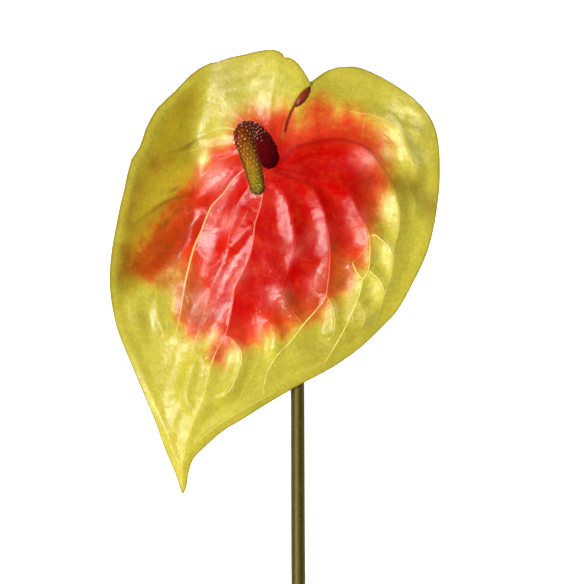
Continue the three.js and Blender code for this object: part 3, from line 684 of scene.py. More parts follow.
def slit_relief(xy, side, opened):
    """The left lobe is lifted over the right one, and the right one's rolled edge stands up beside it."""
    lift = side * SLIT_LIFT * np.exp(-(gap_to(xy, slit_line) / SLIT_LIFT_REACH) ** 2)
    lift *= opened
    roll = FOLD_RISE * smoothstep(-0.3, 1.1, signed_distance(xy, fold_line))
    return lift + np.where(side < 0, roll, 0)


def blade_height(xy, side):
    outwards = np.linalg.norm(xy, axis=1)
    opened = smoothstep(OPENING_START, OPENING_FULL, outwards)
    from_edge = gap_to(xy, margin_line)
    height = form_height(xy) + edge_relief(xy, from_edge, opened) + slit_relief(xy, side, opened)
    veins = vein_field(xy) * smoothstep(0, SMOOTH_BAND, from_edge) - HOLLOW_LEVEL
    height += VEIN_RELIEF * veins * smoothstep(SEAT_RADIUS, SEAT_RADIUS + 3 * SEAT_BLEND, outwards)
    return mix(ATTACHMENT_HEIGHT, height, smoothstep(SEAT_RADIUS, SEAT_RADIUS + SEAT_BLEND, outwards))


print("the skin follows", len(main_lines) + len(cross_lines), "drawn lines")

# %% The blade's grid
COLUMNS_PER_SECTOR = 13
BLADE_ROWS = 176
MARGIN_STEPS = 200
VEIN_CROWDING = 0.5  # how far the columns crowd towards the veins, where the finest relief is
SEAT_MIDDLE = (0.6, 0.8, ATTACHMENT_HEIGHT)


def blade_columns():
    spread = np.linspace(0, 1, COLUMNS_PER_SECTOR + 1)
    spread = mix(spread, 0.5 - 0.5 * np.cos(np.pi * spread), VEIN_CROWDING)
    grid, sides, turns = [], [], []
    sectors = len(MAIN_VEINS) - 1
    for sector in range(sectors):
        here, beyond = MAIN_VEINS[sector], MAIN_VEINS[sector + 1]
        margin = curve_through([here["route"][-1], *here["margin"], beyond["route"][-1]], MARGIN_STEPS)
        left = curve_through(here["route"], BLADE_ROWS)
        right = curve_through(beyond["route"], BLADE_ROWS)
        rows = (np.arange(BLADE_ROWS + 1) / BLADE_ROWS)[:, None]
        for across in spread[:COLUMNS_PER_SECTOR + (sector == sectors - 1)]:
            bulge = margin[int(round(across * MARGIN_STEPS))] - mix(left[-1], right[-1], across)
            grid.append(mix(left, right, across) + bulge * rows ** 2)
            sides.append(1.0 if sector < sectors / 2 else -1.0)
            turns.append(sector + across)
    return np.array(grid), np.array(sides), np.array(turns)


grid, grid_side, grid_turn = blade_columns()
columns, rows = grid.shape[:2]
flat_xy = grid.reshape(-1, 3)[:, :2]
flat_side = np.repeat(grid_side, rows)
upper = np.column_stack([flat_xy, blade_height(flat_xy, flat_side)])
upper = np.vstack([upper, SEAT_MIDDLE])
print(columns, "x", rows, "points, heights in mm:", np.percentile(upper[:, 2], [0, 50, 100]).round(2))

# %% Faces, thickness and rim
BLADE_THICKNESS = 0.8
LEAST_THICKNESS = 0.7  # as a share of it
FLOOR_CLEARANCE = 0.02
RIM_BULGE = 0.25  # the rim is rounded by this share of the thickness


def unit(vectors):
    return vectors / np.maximum(np.linalg.norm(vectors, axis=1), 1e-9)[:, None]


def blade_faces():
    index = np.arange(columns * rows).reshape(columns, rows)
    centre = columns * rows
    quads = np.stack([index[:-1, :-1], index[:-1, 1:], index[1:, 1:], index[1:, :-1]], axis=-1).reshape(-1, 4)
    fan = [(centre, int(index[c, 0]), int(index[(c + 1) % columns, 0])) for c in range(columns)]
    rim = np.concatenate([index[0, :], index[1:, -1], index[-1, -2::-1]])
    return quads, fan, rim


def vertex_normals(points, faces):
    normals = np.zeros_like(points)
    a, b, c, d = (points[faces[:, k]] for k in range(4))
    face_normal = np.cross(c - a, d - b)
    for k in range(4):
        np.add.at(normals, faces[:, k], face_normal)
    return unit(normals)


quads, fan, rim = blade_faces()
normals = vertex_normals(upper, quads)
normals[-1] = (0, 0, 1)
lower = upper - normals * BLADE_THICKNESS
lower[:, 2] = np.maximum(lower[:, 2], FLOOR_CLEARANCE)
upper[:, 2] = np.maximum(upper[:, 2], lower[:, 2] + LEAST_THICKNESS * BLADE_THICKNESS)
outward = np.roll(upper[rim], -1, axis=0) - np.roll(upper[rim], 1, axis=0)
outward = unit(np.cross(outward, normals[rim]))
bead = (upper[rim] + lower[rim]) / 2 + outward * RIM_BULGE * BLADE_THICKNESS
vertices = np.vstack([upper, lower, bead])

count = len(upper)
faces = quads.tolist() + fan
faces += [tuple(reversed([v + count for v in face])) for face in faces]
for i, here in enumerate(rim.tolist()):
    following = (i + 1) % len(rim)
    beyond = int(rim[following])
    b0, b1 = 2 * count + i, 2 * count + following
    faces.append((here, b0, b1, beyond))
    faces.append((b0, here + count, beyond + count, b1))
print(len(vertices), "vertices in the blade")

# %% [markdown]
# ## Spathe: where it is red
# The red spreads from the attachment along the veins and fades into yellow-green in feathered tongues. Its
# border is one drawn outline. Each point of the blade gets its distance to that border, inside counted as
# positive, so that the finish can turn the distance into colour and roughen the border with a streaky pattern
# that follows the veins.

# %% Red border
RED_BORDER = [
    (-15, 16.5), (-9, 20.6), (-4, 21.4), (1, 21.2), (6, 21.8), (8, 20), (8.6, 16), (11, 14.2), (14, 14.8),
    (16, 18), (17.5, 21.5), (20, 23.6), (23, 23.8), (25, 21.5), (26.5, 18.6), (29, 17.6), (32, 18.6),
    (34, 19.4), (36, 19.2), (38.5, 17), (41.5, 14.8), (44.5, 12.4), (48, 11), (51, 8), (50.5, 5), (49.5, 1),
    (48.5, -3), (50.5, -8), (48.5, -12.5), (47.5, -18), (45.5, -23), (44.5, -28), (43, -32), (42, -38),
    (40, -43), (36, -45.4), (33, -46.5), (31, -52), (28.5, -57.5), (25.5, -61), (22, -65), (17, -68.6),
    (12.5, -70), (8, -71.5), (4, -75.5), (0, -73.5), (-4, -76), (-8, -80), (-12.5, -82.6), (-17, -81),
    (-20.5, -83), (-24, -88), (-25.6, -86), (-24.6, -81), (-26.8, -75), (-30, -77), (-34, -76), (-36.5, -71),
    (-36, -64), (-37.5, -57), (-38, -49), (-39.5, -43.5), (-43.5, -44.5), (-49.5, -49), (-53.5, -49),
    (-57.5, -47), (-55, -41), (-51, -35), (-47.5, -28.5), (-44, -23), (-41, -18.5), (-37.5, -13.5),
    (-33.5, -9), (-30.6, -4), (-28, 1), (-26, 4.6), (-20.5, 6.4), (-15.8, 10),
]

border = closed_curve(RED_BORDER, BORDER_LINE)
surface_xy = vertices[:, :2]
red_depth = signed_distance(surface_xy, border)
print("deepest red, mm inside the border:", red_depth.max().round(1))

# %% Spots
# x, y, radius and strength: where a painted sheen stands for the highlights on the wax, where the skin is
# tinged with brown (partly painted shade), where it gets painted shade, and where the red fades out slowly
# painted sheen: the skin paler where the highlights lie
PAINTED_SHEEN_SPOTS = [
    (-24.6, -6, 6, 0.4), (-30.4, 1.5, 2.6, 0.8), (-29, 5.5, 2.5, 0.5), (-16.7, -87.5, 4, 0.5),
    (-3, 25.5, 4.5, 0.3), (2.5, 25.5, 3, 0.4), (-21, 10.5, 3.5, 0.5), (-24.5, -76, 3, 0.3),
    (-16, -49, 4, 0.3), (52, 4, 3, 0.4), (57, 4, 3, 0.4), (60, 19, 9, 0.8), (66, 1, 4, 0.5), (54, 12, 4, 0.4),
    (-4, 38, 8, 0.35), (18, -55, 3.5, 0.15), (43.5, 1.5, 4, 0.4), (38.5, 3, 3, 0.25), (-28, -80, 4.5, 0.45),
    (-22, -25, 5.5, 0.45), (3.5, -60, 4, 0.4), (-20, -55, 4, 0.2), (-8, 41, 2.5, 0.4), (-7.5, 35, 2.5, 0.4),
    (9.2, -39, 4, 0.25), (22, -34, 5, 0.2), (38, -25, 5, 0.2), (51, -40.5, 4, 0.4), (47.3, -57, 4, 0.4),
    (52, -21.5, 4, 0.35), (40.2, -67.4, 3, 0.4), (26.4, -66.6, 3, 0.4),
]
# brown tinge, partly painted shade where the skin turns from the light
BROWN_AND_SHADE_SPOTS = [
    (30.5, -45, 4, 0.5), (29.5, -54, 4, 0.5), (6.5, -68, 4, 0.45), (13, -67, 5, 0.5), (46.5, -27, 4, 0.5),
    (7.5, -61, 3.5, 0.6), (46, -19, 3, 0.5), (52, -8, 3, 0.4), (28.5, -38, 2.5, 0.4), (20, -62, 4.5, 0.4),
    (-40, -26, 9, 0.4), (-50, -40, 9, 0.65), (-61, -46, 6, 0.5), (-46, -53, 6.5, 0.5), (-37, -63, 6, 0.6),
    (-64, -27, 3.5, 0.4), (-65.5, -38, 3.5, 0.5), (-66, -49, 4.5, 0.5), (-60, -12, 4, 0.35),
    (-62, -20, 3.5, 0.35), (-52, -2, 5, 0.35), (-45, 1, 3.5, 0.25), (-39, 26, 5, 0.2), (-33, -70, 5, 0.5),
    (-34, -56, 5, 0.5), (-36, -48, 4, 0.45), (-29, -67, 5, 0.4), (33, -53, 4.5, 0.45), (64, -12, 5, 0.2),
    (71, -20, 5, 0.25), (58, -9, 4, 0.3), (26, -57, 4, 0.3), (22, -50, 4, 0.3), (36, -46, 4, 0.3),
]
# painted shade: the skin a little darker in these places
PAINTED_SHADE_SPOTS = [
    (-57, -72, 12, 0.55), (20, -84, 12, 0.5), (42, -74, 10, 0.15), (-22, 38, 14, 0.45), (45, -8, 6, 0.7),
    (-53, 2, 6, 0.35), (-59, -10, 5, 0.4), (-62, -20, 4.5, 0.5), (-64, -30, 4.5, 0.5), (-66, -42, 4.5, 0.6),
    (-67, -53, 5, 0.6), (-42, 14, 9, 0.35), (-38, 28, 7, 0.35), (-40, 5, 6, 0.3), (64, -12, 6, 0.8),
    (71, -20, 6, 0.5), (57, -9, 4, 0.5), (31, -46, 4, 0.2), (7, -62, 4, 0.3), (-2, 36, 4, 0.4),
]
SOFT_SPOTS = [
    (22, 24, 10, 0.9), (42, 14, 12, 0.9), (52, 2, 8, 0.5), (-52, -40, 12, 1), (-44, -25, 8, 0.5),
    (-4, 20, 8, 0.6), (32, -49, 8, 1), (-36, -62, 10, 1.4),
]


def spots(table):
    """Soft round spots added up."""
    total = np.zeros(len(surface_xy))
    for x, y, radius, strength in table:
        total += strength * np.exp(-((surface_xy - (x, y)) ** 2).sum(1) / radius ** 2)
    return total


print(len(PAINTED_SHEEN_SPOTS + BROWN_AND_SHADE_SPOTS + PAINTED_SHADE_SPOTS + SOFT_SPOTS), "spots")

# %% Values the finish reads
LOBES_CROSS = (18.6, 36)
SLIT_SHOWS = (13, 27)  # from this y to this one the slit gets a painted shadow that shows it as a dark line
FAR = 9  # any distance that is out of a finish's reach
FLANK_REACH = 90  # the flank is closed off this far out, well beyond the blade
DARK_VEIN_WIDTH = 0.8


def on_all(values):
    """Values of the grid and its middle carried to the upper face, the lower face and the rim."""
    values = np.append(values, values[:1])
    return np.concatenate([values, values, values[rim]])


underside = np.repeat([0, 1, 0.5], [count, count, len(rim)])
last_part = len(margin_line) * 3 // 4
crossing = last_part + np.linalg.norm(margin_line[last_part:, :2] - LOBES_CROSS, axis=1).argmin()
open_edge = margin_line[:crossing]  # beyond the crossing the right lobe's edge lies under the left one
on_right = on_all(flat_side < 0)
margin_gap = np.where(on_right, gap_to(surface_xy, margin_line), gap_to(surface_xy, open_edge))
fold_depth = np.where(on_right, signed_distance(surface_xy, fold_line), -FAR)
# beside the open slit the right lobe gets a painted shadow, where the left lobe's edge shades it
at_slit = on_right & (surface_xy[:, 1] > SLIT_SHOWS[0]) & (surface_xy[:, 1] < SLIT_SHOWS[1])
slit_gap = np.where(at_slit, gap_to(surface_xy, slit_line), FAR)

# left of the crease the skin is browner and darker, partly painted shade where the flank faces away from the
# key;
# along some veins and creases a dark line is painted, partly the vein's own colour and partly painted shade
flank_outline = [*CREASE, (-FLANK_REACH, CREASE[-1][1]), (-FLANK_REACH, 60)]
flank = smoothstep(0, 5, signed_distance(surface_xy, closed_curve(flank_outline, 2 * LONG_LINE)))
flank *= smoothstep(2, 8, margin_gap)
dark_vein = np.zeros(len(surface_xy))
drawn = [(main["tint"], line) for main, line in zip(MAIN_VEINS, main_lines)]
drawn += [((0, tint, tint, 0), line) for (_, _, tint, _), line in zip(CROSS_VEINS, cross_lines)]
for tint, line in drawn:
    if min(tint) < 0:
        gap, share = nearest_on_line(surface_xy, line)
        darkness = (-along(tint, share)).clip(0)
        dark_vein = np.maximum(dark_vein, darkness * np.exp(-(gap / DARK_VEIN_WIDTH) ** 2))
print("values ready for", len(surface_xy), "points")

# %% [markdown]
# ## Spathe: its finish
# The distance to the red border is roughened by streaks and mottle and then read off a row of colours. Over
# it go a painted sheen where the highlights lie, painted shade on the flank, brown places that are partly
# painted shade, spots of painted shade, a fine grain, the dark veins and the edges, which are partly painted
# shade too. The wax is glossy, with small ripples.

# %% Spathe finish
YELLOW_GREEN = (164, 152, 48)
DEEP_RED = (163, 28, 8)
SPATHE_SPECULAR = 0.13


def make_spathe_finish():
    material, tree = new_material("spathe_wax")
    place = tree.place()
    streaks = tree.streaks((2.4, 7, 1), 4)
    mottle = tree.noise(place, 170, 4, 0.65)

    # the border of the red: long streaks along the veins and a finer mottle roughen the drawn distance
    depth = tree.math("DIVIDE", tree.attribute("red_depth"), tree.plus(1, tree.attribute("soft")))
    ragged = depth
    for pattern, amount in ((streaks, 4), (mottle, 9)):
        ragged = tree.plus(ragged, tree.times(tree.plus(pattern, -0.5), amount))
    between = [(0.22, (172, 138, 42)), (0.42, (180, 88, 30)), (0.64, (180, 48, 18))]
    color = tree.ramp(tree.spread(ragged, -8, 8, smooth=False), YELLOW_GREEN, between, DEEP_RED)
    bloody = tree.times(tree.spread(depth, 4, 13), tree.spread(mottle, 0.3, 0.6))
    color = tree.blend(bloody, color, (156, 3, 2))

    # painted sheen (paler skin where the highlights lie), painted shade on the flank, brown places that are
    # partly painted shade, and spots of painted shade
    patchy = tree.spread(mottle, 0.3, 0.7, 0.6, 1.3)
    redness = tree.spread(ragged, -2, 5)
    painted_sheen = tree.times(tree.attribute("pale"), tree.spread(streaks, 0.36, 0.6, 0.25, 1.5))
    sheen_color = tree.blend(redness, (200, 190, 112), (204, 134, 122))
    color = tree.blend(tree.times(painted_sheen, patchy, clamp=True), color, sheen_color)
    # left of the crease the flank gets painted shade: browner and darker
    color = tree.blend(tree.times(tree.attribute("flank"), 0.7), color, (248, 226, 140), "MULTIPLY")
    color = tree.blend(tree.times(tree.attribute("brown"), patchy, clamp=True), color, (132, 60, 12))
    color = tree.blend(tree.attribute("dull"), color, (200, 200, 196), "MULTIPLY")

    # cloudy, slightly uneven colour, with a fine grain
    shade = 1
    for scale, detail, roughness, low, high, dark, light in (
        (30, 4, 0.6, 0.3, 0.7, 1.06, 0.86),
        (330, 3, 0.6, 0.3, 0.7, 0.94, 1.05),
        (1000, 2, 0.7, 0.25, 0.75, 0.84, 1.12),
    ):
        layer = tree.spread(tree.noise(place, scale, detail, roughness), low, high, dark, light)
        shade = tree.times(shade, layer)
    gray = tree.get("ShaderNodeCombineColor", {0: shade, 1: shade, 2: shade})
    color = tree.blend(1, color, gray, "MULTIPLY")

    # the dark veins (partly painted shade in creases), the thin darker edge (partly painted shade where the
    # margin curls away), the fold beside the slit with painted shade in the gaps round it, the painted shadow
    # along the slit and the paler back
    fold = tree.attribute("fold_depth")
    fold_gap_shade = tree.times(tree.spread(fold, -0.7, 0), tree.spread(fold, 0.8, 0.2))
    edge = tree.spread(tree.attribute("margin_gap"), 1, 0.2)
    for factor, paint in (
        (tree.times(tree.attribute("dark_vein"), 0.7), tree.blend(redness, (92, 66, 16), (120, 2, 2))),
        (tree.times(edge, 0.6), (110, 88, 26)),
        (tree.spread(fold, 0, 0.7), (112, 30, 16)),
        (fold_gap_shade, (70, 24, 10)),
        (tree.spread(tree.attribute("slit_gap"), 1.6, 0.7), (110, 10, 6)),
        (tree.times(tree.attribute("underside"), 0.6), (170, 160, 84)),
    ):
        color = tree.blend(factor, color, paint)

    # a leathery grain, small ripples, and soft swellings that break the gloss up
    wrinkles = tree.noise(place, 240, 1)
    swelling = tree.times(tree.noise(place, 110, 1, 0.4), 1.6)
    leather = tree.plus(tree.noise(place, 420, 5, 0.65), tree.plus(wrinkles, swelling))
    waxy = tree.spread(tree.noise(place, 75, 3, 0.6), 0.35, 0.65, 0.14, 0.26)
    duller = tree.spread(ragged, 5, -3, 0, 0.08)
    tree.shade(color, tree.plus(waxy, duller), SPATHE_SPECULAR, Specular_Tint=(1, 0.97, 0.92, 1),
               Normal=tree.bump(leather, 0.6, 0.00028))
    return material


spathe_finish = make_spathe_finish()
print("spathe finish nodes:", len(spathe_finish.node_tree.nodes))

# %% The spathe itself
spathe = make_object("spathe_blade", vertices, faces, [spathe_finish])
set_attributes(
    spathe, red_depth=red_depth, margin_gap=margin_gap, fold_depth=fold_depth, slit_gap=slit_gap, flank=flank,
    pale=spots(PAINTED_SHEEN_SPOTS), brown=spots(BROWN_AND_SHADE_SPOTS), dull=spots(PAINTED_SHADE_SPOTS), soft=spots(SOFT_SPOTS),
    dark_vein=dark_vein, underside=underside,
)
row_share = np.tile(np.arange(rows) / (rows - 1), columns)
lay_flow(spathe, on_all(np.repeat(grid_turn, rows)), on_all(row_share))
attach(spathe, "root")
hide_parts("spathe")
print("spathe faces:", len(spathe.data.polygons))

# %% [markdown]
# ## Ribs on the veins
# The stronger veins end in a fine rib, paler than the skin round it or darker, which tapers off where the
# vein fades. A small geometry-node tree turns the drawn vein lines into these ribs: each line becomes a curve
# lying on the skin, and a flat oval is swept along it, as wide as the rib's own strength says.

# %% Rib lines
RIB_WIDTH, RIB_HEIGHT = 0.75, 0.3
RIB_STEP = 0.8
LAST_LEFT_VEIN = 9  # the main veins up to this one lie on the left half


def rib_lines():
    """Points on the skin along every vein with a rib, the edges between them, and their strength and tint."""
    points, edges, strengths, tints = [], [], [], []
    drawn = [(main["rib"], main["tint"], main["route"], i <= LAST_LEFT_VEIN)
             for i, main in enumerate(MAIN_VEINS)]
    drawn += [((rib, rib), (tint, tint), line, False) for _, rib, tint, line in CROSS_VEINS]
    for rib, tint, line, on_left in drawn:
        if not any(rib):
            continue
        path = curve_through(line, max(int(steps_of(line).sum() / RIB_STEP), 4))
        path[:, 2] = blade_height(path[:, :2], np.full(len(path), 1.0 if on_left else -1.0))
        share = np.linspace(0, 1, len(path))
        taper = smoothstep(0, 0.08, share) * smoothstep(1, 0.9, share)
        taper *= smoothstep(-0.3, 0.2, along(tint, share))
        edges += chain(len(path), len(points))
        points.extend(path)
        strengths.extend(along(rib, share) * taper)
        tints.extend(along(tint, share))
    return np.array(points), edges, strengths, tints


rib_points, rib_edges, rib_strength, rib_tint = rib_lines()
print(len(rib_points), "points on ribs")

# %% Geometry-node helpers
def new_tree(name, sockets):
    """A geometry-node tree with the given inputs: name, type and value."""
    tree = bpy.data.node_groups.new(name, "GeometryNodeTree")
    for direction in ("INPUT", "OUTPUT"):
        tree.interface.new_socket("Geometry", in_out=direction, socket_type="NodeSocketGeometry")
    for socket_name, kind, value in sockets:
        socket = tree.interface.new_socket(socket_name, in_out="INPUT", socket_type="NodeSocket" + kind)
        if value is not None:
            socket.default_value = value
    build = Tree(tree)
    return tree, build, build.add("NodeGroupInput").outputs


def named(build, name):
    return build.get("GeometryNodeInputNamedAttribute", {"Name": name}, data_type="FLOAT")


def end_tree(build, geometry, material):
    """Every tree ends by making its instances real and giving them their material."""
    geometry = build.get("GeometryNodeRealizeInstances", {"Geometry": geometry})
    geometry = build.get("GeometryNodeSetMaterial", {"Geometry": geometry, "Material": material})
    build.add("NodeGroupOutput", {"Geometry": geometry})


def run_tree(name, piece, tree, values):
    """Runs a tree on an object and keeps the result as a plain mesh in a new object."""
    modifier = piece.modifiers.new(tree.name, "NODES")
    modifier.node_group = tree
    sockets = {item.name: item.identifier for item in tree.interface.items_tree if item.in_out == "INPUT"}
    for key, value in values.items():
        modifier[sockets[key]] = value
    bpy.context.view_layer.update()
    mesh = bpy.data.meshes.new_from_object(piece.evaluated_get(bpy.context.evaluated_depsgraph_get()))
    mesh.name = name
    mesh.shade_smooth()
    bpy.data.objects.remove(piece)
    return new_object(name, mesh)


print("helpers for geometry:", new_tree.__name__, named.__name__, end_tree.__name__, run_tree.__name__)

# %% Rib tree
def rib_tree():
    tree, build, given = new_tree("ribs_on_veins", [
        ("Width", "Float", RIB_WIDTH * MM),
        ("Height", "Float", RIB_HEIGHT * MM),
        ("Sides", "Int", 8),
        ("Material", "Material", None),
    ])
    curve = build.get("GeometryNodeMeshToCurve", {"Mesh": given["Geometry"]})
    curve = build.get("GeometryNodeSetCurveNormal", {"Curve": curve}, mode="Z_UP")
    strength = named(build, "rib")
    curve = build.get("GeometryNodeSetCurveRadius", {"Curve": curve, "Radius": strength})
    circle = build.get("GeometryNodeCurvePrimitiveCircle", {"Resolution": given["Sides"], "Radius": 0.5})
    size = build.get("ShaderNodeCombineXYZ", {0: given["Width"], 1: given["Height"], 2: 1})
    oval = build.get("GeometryNodeTransform", {"Geometry": circle, "Scale": size})
    swept = {"Curve": curve, "Profile Curve": oval, "Scale": strength, "Fill Caps": True}
    end_tree(build, build.get("GeometryNodeCurveToMesh", swept), given["Material"])
    return tree


ribs_on_veins = rib_tree()
print("rib tree nodes:", len(ribs_on_veins.nodes))

# %% The ribs
def make_rib_finish():
    material, tree = new_material("spathe_ribs")
    redness = tree.spread(tree.attribute("red_depth"), -3, 4)
    tint = tree.attribute("tint")
    color = tree.blend(redness, YELLOW_GREEN, DEEP_RED)
    light = tree.blend(redness, (188, 180, 86), (208, 92, 74))
    dark = tree.blend(redness, (130, 110, 26), (112, 0, 0))
    for start, full, paint in ((0, 1, light), (0, -1, dark), (1, 2, (206, 160, 92))):
        color = tree.blend(tree.spread(tint, start, full, smooth=False), color, paint)
    tree.shade(color, 0.3, SPATHE_SPECULAR)
    return material


rib_piece = make_object("rib_lines", rib_points, edges=rib_edges)
rib_depth = signed_distance(rib_points[:, :2], border)
set_attributes(rib_piece, rib=rib_strength, tint=rib_tint, red_depth=rib_depth)
ribs = run_tree("spathe_ribs", rib_piece, ribs_on_veins, {"Material": make_rib_finish()})
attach(ribs, "root")
print("rib faces:", len(ribs.data.polygons))

# %% [markdown]
# ## Spadix
# The spadix rises from the attachment, bends over to the left and hangs forwards. It is a fleshy core packed
# with florets in two sets of crossing spirals. The core is a plain sweep. The florets are one small mesh
# placed by a tree: each next one turns by a little less than a whole step round the core, which is what makes
# the spirals.

# %% Spadix core
SPADIX_FOOT = ATTACHMENT_HEIGHT + JOIN_GAP
SPADIX_SPINE = [
    (-0.6, 0.8, 0), (-0.9, 2, 4), (-1.9, 5, 12), (-4, 8.8, 21), (-7.2, 11.9, 29.5), (-10.2, 13.1, 35),
    (-12.1, 10.8, 39), (-10.7, 5.5, 41.5), (-8.6, -1.2, 41.6), (-7, -7.4, 39.4), (-5.9, -12, 37.2),
    (-5.4, -15.3, 35.8),
]
# share of the way and radius there
SPADIX_GIRTH = [(0, 4.3), (0.1, 4.5), (0.45, 4.5), (0.62, 4.3), (0.82, 3.95), (0.92, 3.5), (1, 3.3)]
SPINE_STEPS, CORE_SIDES = 160, 36
FLORET_SEAT = 0.24  # the florets stand this far inside that radius


def sweep(route, girths, sides):
    """A closed tube of round sections: vertices, faces, and each vertex's share of the turn and the way."""
    tangents = unit(np.gradient(route, axis=0))
    across = np.array([1.0, 0.0, 0.0])
    vertices = []
    turns = np.arange(sides) / sides
    angles = 2 * np.pi * turns[:, None]
    for spot, tangent, girth in zip(route, tangents, girths):
        across = across - (across @ tangent) * tangent
        across = across / np.linalg.norm(across)
        beside = np.cross(tangent, across)
        girth = np.broadcast_to(girth, sides)[:, None]
        vertices.extend(spot + girth * (across * np.cos(angles) + beside * np.sin(angles)))
    rings = np.arange(len(vertices)).reshape(-1, sides)
    faces = ring_faces(rings)
    first = len(vertices)
    for side in range(sides):
        beside = (side + 1) % sides
        faces.append((first, beside, side))
        faces.append((first + 1, int(rings[-1, side]), int(rings[-1, beside])))
    vertices += [route[0], route[-1]]
    share = np.append(np.repeat(np.arange(len(route)) / (len(route) - 1), sides), [0, 1])
    return np.array(vertices), faces, np.append(np.tile(turns, len(route)), [0, 0]), share


spine = curve_through([(x, y, SPADIX_FOOT + z) for x, y, z in SPADIX_SPINE], SPINE_STEPS)
spine_share = np.linspace(0, 1, len(spine))
spine_length = steps_of(spine).sum()
girth = np.interp(spine_share, *zip(*SPADIX_GIRTH))
to_tip = (1 - spine_share) * spine_length
girth *= np.sqrt(1 - np.clip(1 - to_tip / girth[-1], 0, 1) ** 2).clip(0.05)
core_girth = girth - FLORET_SEAT * smoothstep(0.97, 0.9, spine_share)
core_vertices, core_faces, _, core_share = sweep(spine, core_girth, CORE_SIDES)
print(f"spadix {spine_length:.0f} mm long on its curve")

# %% One floret
FLORET_SIDES = 8
# radius and height of each ring, and 1 on the knob, -1 deep between the lobes
FLORET_RINGS = [(0.62, -0.3, -1), (0.56, 0.03, -0.6), (0.4, 0.15, 0), (0.19, 0.12, 0.2), (0.17, 0.26, 1),
                (0.09, 0.34, 1)]
LOBE_DEPTH = 0.12


def floret_mesh(name):
    """A low four-lobed cushion with a knob on top, one millimetre across, standing on z = 0."""
    vertices, knob = [], []
    for radius, height, on_knob in FLORET_RINGS:
        for side in range(FLORET_SIDES):
            angle = 2 * math.pi * side / FLORET_SIDES
            lobe = 1 + LOBE_DEPTH * math.cos(4 * angle) if on_knob <= 0 else 1
            vertices.append((radius * lobe * math.cos(angle), radius * lobe * math.sin(angle), height))
            knob.append(on_knob)
    rings = np.arange(len(vertices)).reshape(-1, FLORET_SIDES)
    faces = ring_faces(rings) + [rings[-1].tolist(), rings[0, ::-1].tolist()]
    piece = make_object(name, vertices, faces, origin=np.zeros(3))
    set_attributes(piece, knob=knob)
    return piece


floret = floret_mesh("floret")
print("floret faces:", len(floret.data.polygons))

# %% Floret tree
FLORET_ROUND = 14.5  # florets to a turn; the half makes neighbouring rows interlock
FLORET_PITCH = 1.7  # from one turn to the next
BARE_TIP = 0.94  # beyond this share of the way the tip is smooth
ASTRAY = 0.18  # how far a floret can lie from its place
FULL_GIRTH = 4.2  # where the core is this thick the florets are full-sized


def floret_tree():
    tree, build, given = new_tree("spiral_florets", [
        ("Floret", "Object", None),
        ("Count", "Int", 100),
        ("Florets to a Turn", "Float", FLORET_ROUND),
        ("Uneven Size", "Float", 0.42),
        ("Bare Tip", "Float", BARE_TIP),
        ("Seed", "Int", 4),
        ("Material", "Material", None),
    ])
    curve = build.get("GeometryNodeMeshToCurve", {"Mesh": given["Geometry"]})
    index = build.get("GeometryNodeInputIndex")
    share = build.math("DIVIDE", build.plus(index, 0.5), given["Count"])
    on_curve = {"Curves": curve, "Value": named(build, "girth"), "Factor": share}
    sample = build.add("GeometryNodeSampleCurve", on_curve, mode="FACTOR", use_all_curves=True).outputs
    angle = build.math("DIVIDE", build.times(index, 2 * math.pi), given["Florets to a Turn"])
    turned = {"Vector": sample["Normal"], "Axis": sample["Tangent"], "Angle": angle}
    out = build.get("ShaderNodeVectorRotate", turned, rotation_type="AXIS_ANGLE")
    reach = build.get("ShaderNodeVectorMath", {0: out, "Scale": sample["Value"]}, operation="SCALE")
    dice = {"ID": index, "Seed": given["Seed"]}
    limits = {0: (-ASTRAY * MM,) * 3, 1: (ASTRAY * MM,) * 3}
    astray = build.get("FunctionNodeRandomValue", {**limits, **dice}, "Value", data_type="FLOAT_VECTOR")
    place = sample["Position"]
    for step in (reach, astray):
        place = build.get("ShaderNodeVectorMath", {0: place, 1: step}, operation="ADD")
    points = build.get("GeometryNodePoints", {"Count": given["Count"], "Position": place})
    upwards = build.get("ShaderNodeSeparateXYZ", {0: out}, "Z")
    for name, value in (("along", share), ("upwards", upwards)):
        stored = {"Geometry": points, "Name": name, "Value": value}
        points = build.get("GeometryNodeStoreNamedAttribute", stored, data_type="FLOAT", domain="POINT")
    axes = {"Primary Axis": out, "Secondary Axis": sample["Tangent"]}
    turn = build.get("FunctionNodeAxesToRotation", axes, primary_axis="Z", secondary_axis="X")
    limits = {2: build.math("SUBTRACT", 1, given["Uneven Size"]), 3: build.plus(1, given["Uneven Size"])}
    random = build.get("FunctionNodeRandomValue", {**limits, **dice}, "Value", data_type="FLOAT")
    size = build.times(random, build.spread(sample["Value"], 0, FULL_GIRTH * MM, 0.4, 1.5, smooth=False))
    kept = build.math("LESS_THAN", share, given["Bare Tip"])
    floret = build.get("GeometryNodeObjectInfo", {"Object": given["Floret"]}, "Geometry")
    florets = build.get("GeometryNodeInstanceOnPoints", {
        "Points": points, "Selection": kept, "Instance": floret, "Rotation": turn, "Scale": size})
    end_tree(build, florets, given["Material"])
    return tree


floret_count = int(FLORET_ROUND * spine_length / FLORET_PITCH)
spiral_florets = floret_tree()
print(floret_count, "florets, tree nodes:", len(spiral_florets.nodes))

